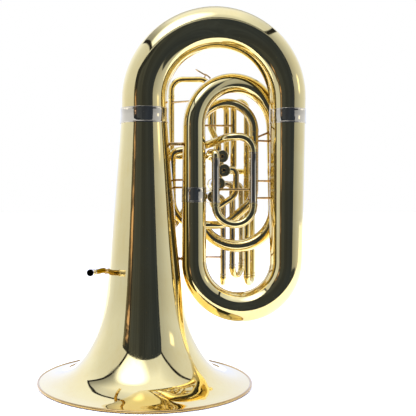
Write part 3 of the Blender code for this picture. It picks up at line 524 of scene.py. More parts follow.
def make_soft(name, light, dark, scale, depth):
    """Felt or cork: rough, mottled and faintly pitted."""
    material, nodes, shader, coordinates = new_material(name)
    grain = nodes.noise(coordinates["Object"], scale, 6.0, 0.7)
    colour = nodes.mix(nodes.ramp(grain, 0.35, 0.65), rgb(*dark), rgb(*light))
    rough, normal = nodes.scaled(grain, 0.2, 0.75), nodes.bump(grain, 0.6, depth)
    nodes.feed(shader, {"Base Color": colour, "Roughness": rough, "Normal": normal})
    return material


BRASS = polished_metal(
    "lacquered_brass_visual", (0.85, 0.68, 0.28), (0.82, 0.61, 0.215),
    smudge=0.07, wave=0.04, coat=0.4,
)
ROD_BRASS = polished_metal(
    "brass_rod_visual", (0.6, 0.39, 0.13), (0.46, 0.27, 0.08), smudge=0.1, wave=0.03, coat=0.2,
)
RAW_BRASS = polished_metal(
    "raw_brass_visual", (0.4, 0.27, 0.075), (0.3, 0.19, 0.05),
    smudge=0.14, wave=0.03, coat=0.0, edge=(0.42, 0.3, 0.09),
)
NICKEL = polished_metal(
    "nickel_silver_visual", (0.71, 0.6, 0.385), (0.66, 0.56, 0.36),
    smudge=0.09, wave=0.03, coat=0.0, turned=0.1,
)
STEEL = polished_metal(
    "valve_steel_visual", (0.56, 0.56, 0.56), (0.48, 0.48, 0.49),
    smudge=0.12, wave=0.02, coat=0.0, turned=0.05,
)
PEARL = make_pearl()
FELT = make_soft("felt", (0.1, 0.02, 0.02), (0.05, 0.01, 0.01), 1500.0, 0.0004)
CORK = make_soft("cork", (0.5, 0.32, 0.17), (0.28, 0.16, 0.08), 700.0, 0.0003)


# The large bore


def bell_profile():
    """The bell's outline down its outside and up its inside."""
    radii, heights = np.array(BELL_OUTLINE[-2::-1]).T
    tilt = np.sqrt(1 + np.gradient(radii, heights) ** 2)
    inner = [(RIM_RADIUS - 0.0075, 0.0016), *zip(radii - WALL * tilt, heights)]
    return smooth_profile(BELL_OUTLINE, 7) + smooth_profile(inner, 5)


def bell_radius(z):
    """Outer radius of the bell at a height between its flare and its throat."""
    radii, heights = np.array(BELL_OUTLINE[::-1]).T
    return float(np.interp(z, heights, radii))


def make_rim_bead():
    """The rolled wire round the bell's rim."""
    profile = []
    for degrees in range(0, 360, 20):
        angle = math.radians(degrees)
        radius = RIM_RADIUS - BEAD_RADIUS + BEAD_RADIUS * math.cos(angle)
        profile.append((radius, BEAD_RADIUS + BEAD_RADIUS * math.sin(angle)))
    turned(profile, Vector(), UP, BELL_SIDES).finish("rim_bead", ROD_BRASS, sharp=60)


def ferrule_profile(low, high, joint, radii):
    """A thin collar with a pair of low beads at each end."""
    foot, middle, top = (radius + 0.0001 for radius in radii)
    lip, thick, bead, between_beads, band = 0.0011, 0.0007, 0.0014, 0.0005, 0.0038
    round_bead = ((0.0, 0.55), (0.25, 0.93), (0.5, 1.0), (0.75, 0.93), (1.0, 0.55))

    def end(radius, height, way):
        shape = []
        for k in range(2):
            start = height + way * k * (bead + between_beads)
            for share, out in round_bead:
                shape.append((radius + thick + (lip - thick) * out, start + way * bead * share))
        shape.append((radius + thick, height + way * band))
        return shape

    outside = end(foot, low, 1) + [(middle + thick, joint)] + end(top, high, -1)[::-1]
    return outside + [(top, high), (middle, joint), (foot, low)]


def ferrule(node, centre, ends, joint, radii, sides):
    profile = ferrule_profile(*ends, joint, radii)
    turned(profile, centre, UP, sides).stand_for(node, NICKEL, sharp=30)


def make_stays(name, struts):
    """Brace rods, as one piece."""
    if struts:
        shell = Shell()
        for strut in struts:
            shell.strut(*strut)
        shell.finish(name, ROD_BRASS)


def plain_tube(
    node, route, sections, sides=SMALL_SIDES, reference=SIDE, lands=None, struts=(), material=BRASS
):
    """A tube on its route, with the stays that start from it."""
    shell = Shell()
    shell.tube(route, sections, sides, reference, lands)
    shell.stand_for(node, material)
    make_stays(node + "_stays", struts)


def between(first, second, near, far):
    """Both ends of a rod from the surface of a tube round first to that of one round second."""
    way = (second - first).normalized()
    return first + way * (near - ROOT), second - way * (far - ROOT)


def bell_brace(place, z, radius, rod):
    """A strut from a tube round place to the bell."""
    return (*between(at(place, z), xyz(0.0, 0.0, z), radius, bell_radius(z)), *rod)


def make_large_bore():
    bell = turned(bell_profile(), Vector(), UP, BELL_SIDES, closed=False)
    bell.stand_for("bell", BRASS, sharp=50)
    make_rim_bead()
    radii = (BELL_FERRULE_FOOT, THROAT_RADIUS, THROAT_RADIUS)
    ferrule("bell_ferrule", Vector(), BELL_FERRULE_Z, THROAT_Z, radii, FERRULE_SIDES)
    branch = xyz(BRANCH_X, 0.0)
    ferrule("bow_ferrule", branch, BOW_FERRULE_Z, THROAT_Z, [BRANCH_RADIUS] * 3, BIG_SIDES)

    foot, crest = THROAT_Z + GAP / 2, BOTTOM_BOW_Z + BRANCH_X / 2
    corners = [UP * foot, UP * crest, at(branch, crest), at(branch, foot)]
    route = bent_route(corners, [BRANCH_X / 2 * BOW_SHARE] * 2, BIG_STEP)
    sections = [(0.0, THROAT_RADIUS), (0.5, BOTTOM_BOW_MIDDLE), (1.0, BRANCH_RADIUS)]
    plain_tube("bottom_bow", route, sections, BIG_SIDES)

    start, end = xyz(OUTER_FOOT_X, 0.0), xyz(SECOND_X, 0.0)
    route = [
        (at(branch, THROAT_Z - GAP / 2), -UP), (at(branch, OUTER_TAPER_Z), -UP),
        (at(start, TOP_BOW_Z), -UP),
    ]
    plain_tube("outer_branch", route, taper(BRANCH_RADIUS, OUTER_FOOT_RADIUS), BIG_SIDES)
    low, middle, high = SECOND_RADII
    sections = [(0.0, OUTER_FOOT_RADIUS), (0.5, TOP_BOW_MIDDLE), (1.0, low)]
    plain_tube("top_bow", bow_route(start, end, TOP_BOW_Z, -1), sections, BIG_SIDES)
    route = straight_route(at(end, TOP_BOW_Z), at(end, SECOND_JOINT_Z))
    strut = bell_brace(end, LOW_BELL_BRACE_Z, low, LOW_BELL_ROD)
    plain_tube("second_branch_lower", route, taper(low, middle), TUBE_SIDES, struts=[strut])
    route = straight_route(at(end, SECOND_JOINT_Z), at(end, SECOND_TOP_Z))
    strut = bell_brace(end, HIGH_BELL_BRACE_Z, high, HIGH_BELL_ROD)
    plain_tube("second_branch_upper", route, taper(middle, high), TUBE_SIDES, struts=[strut])
    radii = (middle + 0.0002, middle, middle)
    ferrule("second_ferrule", end, SECOND_FERRULE_Z, SECOND_JOINT_Z, radii, TUBE_SIDES)


def third_radius(z):
    """Outer radius of the third branch at a height."""
    wide, narrow = THIRD_RADII
    return wide + (narrow - wide) * (SECOND_TOP_Z - z) / (SECOND_TOP_Z - THIRD_BOW_Z)


def third_branch_stays(third, fifth):
    """Level rods from the third branch to the fifth, and one that slants."""
    struts = []
    for z, aim in zip(BRACE_HEIGHTS, BRACE_AIMS):
        end = at(fifth, z) - SIDE * aim
        struts.append(between(at(third, z), end, third_radius(z), FIFTH_RADIUS))
    low, high = (BRACE_HEIGHTS[0] + rise for rise in SLANT_RISE)
    start, end = at(third, high), at(fifth, low)
    level = (end - start).normalized().xy.length
    struts.append(between(start, end, third_radius(high) / level, FIFTH_RADIUS / level))
    return struts


def make_inner_branches():
    second, third = xyz(SECOND_X, 0.0), xyz(THIRD_X, THIRD_Y)
    fourth, fifth = xyz(FOURTH_X, FOURTH_Y), xyz(FIFTH_X, FIFTH_Y)
    wide, narrow = THIRD_RADII
    route = bow_route(second, third, SECOND_TOP_Z)
    plain_tube("second_bow", route, taper(SECOND_RADII[2], wide), TUBE_SIDES)
    route = straight_route(at(third, SECOND_TOP_Z), at(third, THIRD_BOW_Z))
    struts = third_branch_stays(third, fifth)
    plain_tube("third_branch", route, taper(wide, narrow), TUBE_SIDES, struts=struts)
    route = bow_route(third, fourth, THIRD_BOW_Z, -1)
    plain_tube("third_bow", route, taper(narrow, FOURTH_RADII[0]), TUBE_SIDES)
    route = straight_route(at(fourth, THIRD_BOW_Z), at(fourth, FOURTH_BOW_Z))
    plain_tube("fourth_branch", route, taper(*FOURTH_RADII))
    route = bow_route(fourth, fifth, FOURTH_BOW_Z)
    plain_tube("fourth_bow", route, taper(FOURTH_RADII[1], FIFTH_RADIUS))

    beside = xyz(BESIDE_BELL_X, BESIDE_BELL_Y)
    corners = [
        at(fifth, FOURTH_BOW_Z), at(fifth, FIFTH_TURN_Z), xyz(RETURN_X, RETURN_Y, RETURN_Z),
        at(beside, RETURN_Z), at(beside, BESIDE_JOINT_Z),
    ]
    route = bent_route(corners, [0.05, 0.06, 0.06])
    struts = []
    for z in STUB_HEIGHTS:
        struts.append(between(at(beside, z), at(second, z), RETURN_RADIUS, SECOND_RADII[1]))
    plain_tube("return_tube", route, taper(FIFTH_RADIUS, RETURN_RADIUS), struts=struts)
    corners = [
        xyz(MAIN_RIGHT_X, MAIN_Y, MAIN_RIGHT_TOP_Z), xyz(MAIN_RIGHT_X, MAIN_Y, CROSSING_Z),
        xyz(0.196, -0.01, CROSSING_Z), xyz(0.15, RETURN_Y, 0.5555), at(beside, 0.538),
        at(beside, BESIDE_JOINT_Z),
    ]
    route = bent_route(corners, [0.034, 0.04, 0.03, 0.016])
    plain_tube("crossing_tube", route, taper(MAIN_TUBE_RADIUS, RETURN_RADIUS))
    shell = Shell()
    for place, z, radius in (
        (fourth, THIRD_BOW_Z, FOURTH_RADII[0]), (fourth, FOURTH_BOW_Z, FOURTH_RADII[1]),
        (fifth, FOURTH_BOW_Z, FIFTH_RADIUS), (beside, BESIDE_JOINT_Z, RETURN_RADIUS),
    ):
        joint_ring(shell, at(place, z), UP, radius)
    shell.finish("joint_rings_visual", BRASS)


def joint_ring(shell, centre, axis, radius, half=0.0045, thick=0.00035):
    """The low band where one tube is soldered into the next."""
    end = [(radius - 0.0002, 0.0), (radius + thick * 0.7, 0.0002), (radius + thick, 0.0006)]
    shell.lathe(even_ends(end, -half, half), centre, axis, TUBE_SIDES, closed=True)


# Slides


def slide_corners(first, second, stop, way, leg, straight, corner):
    """Up one leg, round the crook and down the other; stop is where the sleeves end."""
    crest = stop + way * (straight + corner)
    near = stop + way * GAP
    heights = (stop - way * leg, near, near + way * SHOULDER, crest)
    corners = [at(first, z) for z in heights] + [at(second, z) for z in heights[::-1]]
    return corners, [0, 0, corner * LOOP_SHARE, corner * LOOP_SHARE, 0, 0]


def slide(node, body, legs, stop, way, leg, straight, corner, radii, extra=None):
    """A crook with two legs. radii are those of a leg and of the crook."""
    corners, bends = slide_corners(*legs, stop, way, leg, straight, corner)
    route = bent_route(corners, bends, SLIDE_STEP)
    total = sum((b - a).length for (a, _), (b, _) in zip(route, route[1:]))
    near, far = (leg + GAP) / total, (leg + GAP + SHOULDER) / total
    inner, outer = radii
    sections = [(0.0, inner), (near, inner), (far, outer)]
    sections += [(1 - share, radius) for share, radius in sections[::-1]]
    shell = Shell()
    shell.tube(route, sections, reference=(legs[1] - legs[0]).normalized())
    for place in legs:
        joint_ring(shell, at(place, stop + way * 0.004), UP, outer, 0.0034, 0.0006)
    if extra:
        extra(shell)
    shell.stand_for(node, BRASS, body)


def sleeve_collar(shell, place, z, way, radius):
    """The thicker ring at a sleeve's open end."""
    profile = [
        (radius - 0.0003, 0.0004), (radius + 0.0005, 0.0006), (radius + 0.0007, 0.0014),
        (radius + 0.0007, 0.0052), (radius + 0.0002, 0.006), (radius - 0.0003, 0.006),
    ]
    shell.lathe(profile, at(place, z), UP * way, SMALL_SIDES, closed=True)


def make_main_slide():
    left, right = xyz(MAIN_LEFT_X, MAIN_Y), xyz(MAIN_RIGHT_X, MAIN_Y)
    bore, plain = MAIN_LEG_RADIUS + GAP, MAIN_SLEEVE_RADIUS
    ring = plain + 0.0005
    end = [(bore, 0.0), (ring, 0.0), (ring, 0.004), (plain, 0.0044)]
    shell = Shell()
    for place, top in ((left, MAIN_LEFT_TOP_Z), (right, MAIN_RIGHT_TOP_Z)):
        profile = rounded(even_ends(end, MAIN_STOP_Z, top))
        shell.lathe(profile, place, UP, SMALL_SIDES, closed=True)
    shell.stand_for("main_sleeves", NICKEL, sharp=30)
    rod = between(at(left, MAIN_BRACE_Z), at(right, MAIN_BRACE_Z), plain, plain)
    make_stays("main_sleeves_rod", [(*rod, *MAIN_ROD)])
    leg, straight = MAIN_LEG_TOP_Z - MAIN_STOP_Z, MAIN_STOP_Z - MAIN_BOW_Z
    corner, radii = (MAIN_RIGHT_X - MAIN_LEFT_X) / 2, (MAIN_LEG_RADIUS, plain)
    crook = (MAIN_STOP_Z, -1, leg, straight, corner, radii)
    slide("main_tuning_slide", "main_slide", (left, right), *crook)


def sleeve_route(number, leg):
    """From a lower slide's sleeve up to its valve."""
    turn = at(leg, valve_place(number).z)
    return bent_route([at(leg, SLIDE_BOW_Z[number]), turn, port(number, leg.y, turn)], [PORT_BEND])


def third_loop_route():
    """From the third slide up, over and down to the third valve."""
    leg = THIRD_LEGS[0]
    corner = (LOOP_LEG - leg).length / 2 * LOOP_SHARE
    turn = at(LOOP_LEG, valve_place(3).z)
    corners = [
        at(leg, SLIDE_BOW_Z[3]), at(leg, LOOP_CROWN_Z), at(LOOP_LEG, LOOP_CROWN_Z), turn,
        port(3, LOOP_LEG.y, turn),
    ]
    return bent_route(corners, [corner, corner, PORT_BEND])


def stay_to_second(far, heights, radius):
    """Both ends of a rod from a tube behind to the second branch, whose radius there is given."""
    start, end = at(far, heights[0]), xyz(SECOND_X, 0.0, heights[1])
    return between(start, end, PORT_RADIUS, radius)


def make_lower_slides():
    plain = taper(PORT_RADIUS, PORT_RADIUS)
    first_stay = (*stay_to_second(FIRST_LEGS[0], FIRST_STAY_Z, SECOND_RADII[0]), *FIRST_STAY_ROD)
    third_stay = stay_to_second(LOOP_LEG, THIRD_STAY_Z, SECOND_RADII[2])
    sets = (
        ("first", FIRST_LEGS, "first_slide_sleeves", NICKEL, [first_stay]),
        ("second", SECOND_LEGS, "second_slide_sleeves", NICKEL, []),
        ("third", THIRD_LEGS, "third_valve_tubing", BRASS, [third_stay]),
    )
    for number, (word, legs, node, material, stays) in enumerate(sets, start=1):
        bow_z = SLIDE_BOW_Z[number]
        across = (legs[1] - legs[0]).normalized()
        near = third_loop_route() if number == 3 else sleeve_route(number, legs[0])
        shell = Shell()
        for route in (near, sleeve_route(number, legs[1])):
            shell.tube(route, plain, reference=across, lands={-1: number})
        for leg in legs:
            sleeve_collar(shell, leg, bow_z, 1, PORT_RADIUS)
        shell.stand_for(node, material)
        link_z = bow_z + LINK_RISE
        link = between(at(legs[0], link_z), at(legs[1], link_z), PORT_RADIUS, PORT_RADIUS)
        make_stays(f"{word}_slide_stays", [(*link, *LINK_ROD), *stays])
        corner, radii = (legs[1] - legs[0]).length / 2, (LEG_RADIUS, PORT_RADIUS)
        crook = (bow_z, -1, LEG_LENGTH, 0.001, corner, radii)
        slide(f"{word}_valve_slide", f"{word}_slide", legs, *crook)


def right_bend_centre():
    """What the fourth slide's right bend turns about."""
    right = FOURTH_LEGS[1]
    return xyz(right.x - FOURTH_CORNER, right.y, FOURTH_CROWN_Z - FOURTH_CORNER)


def nipple_place():
    """Where the water key's nipple stands on the bend, and which way it points."""
    way = Vector((math.sin(NIPPLE_ANGLE), 0.0, math.cos(NIPPLE_ANGLE)))
    return right_bend_centre() + way * (FOURTH_CORNER + PORT_RADIUS), way


def add_nipple(shell):
    end = [(0.0044, -0.0012), (0.004, 0.0), (0.0032, 0.0006), (0.003, 0.0022)]
    bore = [(0.0016, 0.0022), (0.0014, 0.0006), (0.0, 0.0006)]
    shell.lathe(end + bore, *nipple_place(), KEY_SIDES)


def make_fourth_slide():
    left, right = FOURTH_LEGS
    plain = taper(PORT_RADIUS, PORT_RADIUS)
    valve = valve_place(4)
    port_z, top_z = valve.z + FOURTH_PORT_RISE, valve.z + PORT_START
    left_route = [
        at(left, FOURTH_STOP_Z), at(left, port_z), xyz(valve.x - PORT_START, left.y, port_z),
    ]
    right_route = [
        at(right, FOURTH_STOP_Z), at(right, 0.6), xyz(0.181, 0.072, 0.56), xyz(0.181, 0.072, top_z),
    ]
    start_z, end, end_radius = FOURTH_STAY
    stay = between(at(left, start_z), end, PORT_RADIUS, end_radius)
    for side, leg, corners, radii, stays in (
        ("left", left, left_route, [0.016], [stay]),
        ("right", right, right_route, [0.025, 0.025], []),
    ):
        shell = Shell()
        shell.tube(bent_route(corners, radii), plain, lands={-1: 4})
        sleeve_collar(shell, leg, FOURTH_STOP_Z, -1, PORT_RADIUS)
        shell.stand_for(f"fourth_sleeve_{side}", BRASS)
        make_stays("fourth_slide_stay", stays)

    near, far = xyz(0.2056, 0.11), xyz(0.1741, 0.12)
    corner = (far - near).length / 2 * LOOP_SHARE
    corners = [
        port(4, near.y, at(near, valve.z)), at(near, valve.z), at(near, 0.66), at(far, 0.66),
        at(far, 0.575), xyz(0.1815, far.y, 0.555), xyz(0.1815, far.y, top_z),
    ]
    route = bent_route(corners, [0.011, corner, corner, 0.02, 0.02])
    plain_tube("fourth_valve_loop", route, plain, reference=DEPTH, lands={0: 4, -1: 4})

    straight = FOURTH_CROWN_Z - FOURTH_CORNER - FOURTH_STOP_Z
    radii = (LEG_RADIUS, PORT_RADIUS)
    crook = (FOURTH_STOP_Z, 1, LEG_LENGTH, straight, FOURTH_CORNER, radii, add_nipple)
    slide("fourth_valve_slide", "fourth_slide", (left, right), *crook)


def make_water_key():
    """The lever with its touch plate, cork cup and hub, the cork, and the saddle with its pin."""
    foot, way = nipple_place()
    bend = KEY_PIVOT + xyz(-0.0035, 0.0, 0.0017)
    corners = [KEY_TOUCH, bend, KEY_PIVOT + SIDE * 0.003, foot + way * 0.0065]
    shell = Shell()
    shell.rod(bent_route(corners, [0.006, 0.006]), 0.0017, ROD_SIDES, DEPTH)
    plate = [(0.0, -0.001), (0.0038, -0.001), (0.0046, -0.0004)]
    plate += [(0.0046, 0.0004), (0.0038, 0.001), (0.0, 0.0007)]
    plate_way = (KEY_PIVOT - KEY_TOUCH).cross(DEPTH).normalized()
    shell.lathe(plate, KEY_TOUCH, plate_way, KEY_SIDES)
    cup = [(0.0, 0.0044), (0.0048, 0.0044), (0.0049, 0.0056)]
    cup += [(0.0036, 0.0064), (0.0022, 0.007), (0.0, 0.007)]
    shell.lathe(cup, foot, way, KEY_SIDES)
    hub = even_ends([(0.0014, 0.0), (0.0026, 0.0), (0.0028, 0.0004)], -0.0026, 0.0026)
    shell.lathe(hub, KEY_PIVOT, DEPTH, KEY_SIDES, closed=True)
    shell.stand_for("water_key", ROD_BRASS, "water_key_lever")
    cork = even_ends([(0.0, 0.0), (0.0043, 0.0)], 0.0026, 0.0044)
    cork = turned(cork, foot, way, KEY_SIDES, closed=False)
    cork.finish("water_key_cork", CORK, "water_key_lever")
    head = [(0.0, 0.0), (0.0018, 0.0), (0.0018, 0.0006), (0.001, 0.0007)]
    shell = turned(even_ends(head, -0.0054, 0.0054), KEY_PIVOT, DEPTH, ROD_SIDES, closed=False)
    down = right_bend_centre() - KEY_PIVOT
    reach = down.length - SADDLE_FOOT
    post = [(0.0, -0.0022), (0.0012, -0.002), (0.002, -0.001), (0.002, 0.0012)]
    post += [(0.0013, 0.0024), (0.0013, reach - 0.002), (0.0022, reach - 0.0006)]
    post += [(0.0022, reach), (0.0, reach)]
    for y in (-0.0043, 0.0043):
        shell.lathe(post, KEY_PIVOT + DEPTH * y, down.normalized(), ROD_SIDES)
    shell.stand_for("water_key_saddle", ROD_BRASS, "fourth_slide")


def make_outlet_and_crossover():
    left = xyz(MAIN_LEFT_X, MAIN_Y)
    last = xyz(0.152, OUTLET_Y, 0.5265)
    corners = [
        at(left, MAIN_LEFT_TOP_Z), at(left, 0.5345), xyz(0.156, 0.012, 0.535), last,
        port(4, OUTLET_Y, last),
    ]
    route = bent_route(corners, [0.009, 0.016, 0.012])
    plain_tube("valve_outlet_tube", route, taper(MAIN_TUBE_RADIUS, 0.0085), lands={-1: 4})
    first = xyz(CROSSOVER_X, CROSSOVER_Y, 0.499)
    last = Vector((valve_place(1).x, CROSSOVER_Y, 0.3985))
    corners = [
        port(3, CROSSOVER_Y, first), first, at(first, 0.435), last, port(1, CROSSOVER_Y, last),
    ]
    route = bent_route(corners, [0.012, 0.028, 0.01])
    sections = taper(0.0072, 0.0072)
    plain_tube("crossover_tube", route, sections, reference=DEPTH, lands={0: 3, -1: 1})


# Valves


def make_casing(number):
    """A casing, with the two knuckles from it to the next valve."""
    foot = valve_place(number)
    wall, ring = CASING_RADIUS, CASING_RADIUS + 0.0006
    end = [
        (CASING_BORE, 0.0), (wall, 0.0), (wall, 0.012), (ring, 0.0124), (ring, 0.015),
        (wall, 0.0154),
    ]
    profile = rounded(even_ends(end, CASING_START_Y, CASING_END_Y), 0.0002)
    shell = turned(profile, foot, DEPTH, TUBE_SIDES)
    if number < 4:
        above = valve_place(number + 1)
        way = (above - foot).normalized()
        low, high = foot + way * PORT_START, above - way * PORT_START
        for y in KNUCKLE_DEPTHS:
            route = straight_route(low + DEPTH * y, high + DEPTH * y)
            lands = {0: number, -1: number + 1}
            shell.tube(route, taper(PORT_RADIUS, PORT_RADIUS), reference=DEPTH, lands=lands)
    shell.stand_for(f"valve_casing_{number}", BRASS)


def make_caps(number):
    """The caps. Heights count from the casing's ends; grooves and a boss ring the bottom one."""
    inside, rim, hole = CASING_RADIUS + GAP, CAP_RADIUS, STEM_RADIUS + 0.0007
    bottom = [
        (inside, 0.008), (rim - 0.0003, 0.008), (rim, 0.0076), (rim, 0.004),
        (rim - 0.0006, 0.0036), (rim - 0.0006, 0.003), (rim, 0.0026), (rim, -0.0058),
        (rim - 0.0005, -0.0067), (rim - 0.0014, -0.0072), (rim - 0.0038, -0.0072),
        (rim - 0.0044, -0.0066), (rim - 0.0066, -0.0062), (rim - 0.0084, -0.0066),
        (rim - 0.009, -0.0072), (0.0044, -0.0072), (0.0038, -0.0079), (0.003, -0.0079),
        (0.0026, -0.007), (0.0026, -0.005), (inside, -0.005),
    ]
    top = [
        (inside, -0.009), (inside, 0.001), (hole, 0.001), (hole, 0.0052),
        (hole + 0.0003, 0.0055), (0.0072, 0.0055), (0.0078, 0.005), (0.009, 0.0035),
        (rim - 0.0014, 0.0031), (rim - 0.0003, 0.0026), (rim, 0.0016), (rim, -0.002),
        (rim - 0.0006, -0.0024), (rim - 0.0006, -0.003), (rim, -0.0034), (rim, -0.0086),
        (rim - 0.0004, -0.009),
    ]
    for word, profile, y in (("bottom", bottom, CASING_START_Y), ("top", top, CASING_END_Y)):
        shell = turned(lifted(profile, y), valve_place(number), DEPTH, TUBE_SIDES)
        shell.stand_for(f"{word}_cap_{number}", BRASS, sharp=30)


def make_piston(number):
    """What moves when the valve is pressed: piston with stem, finger button, inlay and felt."""
    foot, body = valve_place(number), f"valve_{number}"
    seat = PISTON_START_Y + SPRING_POCKET + PISTON_STROKE + 0.001
    pocket = PISTON_RADIUS - 0.0018
    piston = [
        (0.0, STEM_END_Y), (STEM_RADIUS, STEM_END_Y), (STEM_RADIUS, PISTON_END_Y),
        (PISTON_RADIUS - 0.0006, PISTON_END_Y), (PISTON_RADIUS, PISTON_END_Y - 0.0006),
        (PISTON_RADIUS, PISTON_START_Y + 0.0005), (PISTON_RADIUS - 0.0005, PISTON_START_Y),
        (pocket, PISTON_START_Y), (pocket, seat), (0.0, seat),
    ]
    turned(piston, foot, DEPTH, closed=False).stand_for(f"piston_{number}", STEEL, body, 30)
    low, crown, hole, rim = -0.0075, 0.004, STEM_RADIUS + GAP, BUTTON_RADIUS
    cup = [
        (hole, low), (0.0048, low), (0.0048, -0.0048), (0.0056, -0.0042),
        (rim - 0.0014, -0.0026), (rim - 0.0002, -0.0008), (rim, 0.0012),
        (rim - 0.0004, crown - 0.0002), (rim - 0.0012, crown), (rim - 0.0018, crown - 0.0008),
        (rim - 0.0018, 0.001), (hole, 0.0004),
    ]
    cup = turned(lifted(cup, STEM_END_Y), foot, DEPTH)
    cup.stand_for(f"finger_button_{number}", BRASS, body, 30)
    edge = rim - 0.0019
    inlay = [(0.0, 0.0011), (edge, 0.0011), (edge, crown - 0.0006)]
    inlay += [(edge - 0.001, crown - 0.0003), (edge * 0.5, crown - 0.0009), (0.0, crown - 0.0011)]
    inlay = turned(lifted(inlay, STEM_END_Y), foot, DEPTH, closed=False)
    inlay.finish(f"pearl_inlay_{number}", PEARL, body)
    felt = [(STEM_RADIUS, -0.0014), (0.0072, -0.0014), (0.0074, -0.0007)]
    felt += [(0.0072, 0.0), (STEM_RADIUS, 0.0)]
    felt = turned(lifted(felt, STEM_END_Y + low), foot, DEPTH)
    felt.finish(f"valve_felt_{number}", FELT, body)


# Leadpipe


def make_leadpipe():
    """The pipe from the receiver round the far side of the bell to the first valve."""
    way = (RECEIVER_FOOT - RECEIVER_MOUTH).normalized()
    entry = valve_place(1) + DEPTH * LEADPIPE_Y
    points = [
        RECEIVER_FOOT + way * GAP, RECEIVER_FOOT + way * 0.008, xyz(-0.108, -0.012, 0.2574),
        LEADPIPE_BRACE, xyz(-0.0882, 0.06, 0.2504), xyz(-0.045, 0.102, 0.256),
        xyz(0.025, 0.117, 0.3), xyz(0.08, 0.109, 0.365), xyz(0.115, 0.102, 0.42),
        entry - SIDE * 0.02, port(1, LEADPIPE_Y, entry - SIDE),
    ]
    route, sections = smooth_route(points, 8), taper(0.0061, 0.0075)
    plain_tube("leadpipe", route, sections, reference=UP, lands={-1: 1}, material=RAW_BRASS)
    length = (RECEIVER_FOOT - RECEIVER_MOUTH).length
    outer = RECEIVER_RADIUS
    profile = [
        (outer - 0.0006, 0.0), (outer - 0.0003, 0.0), (outer, 0.0003), (outer, 0.0046),
        (outer - 0.0003, 0.0052), (outer - 0.0008, 0.006), (outer - 0.001, length - 0.015),
        (outer - 0.0004, length - 0.0135), (outer, length - 0.012), (outer, length - 0.004),
        (outer - 0.0005, length - 0.002), (outer - 0.0013, length), (0.0053, length),
        (0.0064, 0.012), (0.0069, 0.002),
    ]
    turned(profile, RECEIVER_MOUTH, way).stand_for("mouthpiece_receiver", NICKEL, sharp=30)
    inward = -xyz(LEADPIPE_BRACE.x, LEADPIPE_BRACE.y).normalized()
    reach = LEADPIPE_BRACE.xy.length - bell_radius(LEADPIPE_BRACE.z)
    start, end = LEADPIPE_BRACE + inward * 0.0055, LEADPIPE_BRACE + inward * reach
    shell = Shell()
    shell.strut(start, end, *LEADPIPE_ROD)
    shell.stand_for("leadpipe_brace", ROD_BRASS)


# Setting


def stage_quad(name, corners, material, seen=True):
    mesh = bpy.data.meshes.new(name)
    mesh.from_pydata(corners, [], [(0, 1, 2, 3)])
    mesh.materials.append(material)
    quad = placed(name, mesh)
    quad.visible_camera = quad.visible_shadow = seen


def make_floor():
    """A white table top, whose front edge lies a little before the rim."""
    material, nodes, shader, coordinates = new_material("pale_floor")
    grain = nodes.noise(coordinates["Object"], 60.0, 4.0)
    colour, rough = nodes.mix(grain, 0.93, 0.9), nodes.scaled(grain, 0.1, 0.75)
    nodes.feed(shader, {"Base Color": colour, "Roughness": rough})
    half, front, back, z = 6.0, -0.42, 12.0, -0.0005
    corners = [(-half, front, z), (half, front, z), (half, back, z), (-half, back, z)]
    stage_quad("floor", corners, material)


def make_backdrop():
    """Two panels behind the camera, unseen themselves, that glow with painted light: a painted
    picture of the dark, shaded side of the room, for the metal to mirror. It is darkest to the
    right, hangs in folds whose shade is painted, and has a peach post, a thin pale edge and a dim
    band at the left, all painted into its glow."""
    material, nodes, shader, coordinates = new_material("dark_room", "ShaderNodeEmission")
    place = coordinates["Object"]
    x, _, z = nodes.add("ShaderNodeSeparateXYZ", {"Vector": place}).outputs
    # Painted light and shade: the glow is dim at the far left, brightest a little left of the
    # middle, and lower to the right.
    level = nodes.ramp(x, -1.35, -0.85, 0.55, 1.2)
    level = nodes.math("SUBTRACT", level, nodes.ramp(x, -0.8, -0.1, 0.0, 0.38))
    # Painted shade: vertical bands of the glow dimmed and brightened, as the folds of a hanging
    # cloth would be.
    fold_shade = nodes.noise(place, 1.0, 4.0, 0.6, (9.0, 1.0, 0.35))
    level = nodes.times(level, nodes.ramp(fold_shade, 0.4, 0.72, 0.85, 1.35))
    tone = nodes.mix(nodes.ramp(x, -0.9, 1.0), rgb(0.056, 0.068, 0.1), rgb(0.044, 0.06, 0.112))
    shade = {0: tone, "Scale": level}
    shade = nodes.add("ShaderNodeVectorMath", shade, operation="SCALE").outputs[0]
    # Painted light: the peach post glows, with its glow broken into pieces along its height.
    post_breaks = nodes.noise(place, 1.0, 4.0, 0.6, (2.0, 1.0, 7.0))
    near = nodes.ramp(z, 1.36, 1.4, 1.0, 0.0)
    post = nodes.times(nodes.band(x, -1.66, -1.33, 0.1), nodes.band(z, -0.3, 1.05, 0.2))
    post = nodes.times(post, nodes.ramp(post_breaks, 0.42, 0.58, 0.08, 1.0))
    # Painted light: a thin pale line and a dim band at the left, on the near panel only.
    edge = nodes.times(nodes.times(nodes.band(x, -1.18, -1.13, 0.03), near), 0.5)
    dim = nodes.times(nodes.times(nodes.band(x, -2.2, -1.72, 0.06), near), 0.85)
    for mask, colour in (
        (post, rgb(0.86, 0.58, 0.46)), (edge, rgb(0.2, 0.2, 0.22)), (dim, rgb(0.17, 0.16, 0.15)),
    ):
        shade = nodes.mix(mask, shade, colour)
    nodes.feed(shader, {"Color": shade})
    for name, left, right, low, high, y in (
        ("dark_room_near", -2.05, 1.22, -0.6, 1.45, -1.5),
        ("dark_room_far", -4.05, 2.55, 1.42, 3.05, -3.0),
    ):
        corners = [(left, y, low), (right, y, low), (right, y, high), (left, y, high)]
        stage_quad(name, corners, material, seen=False)


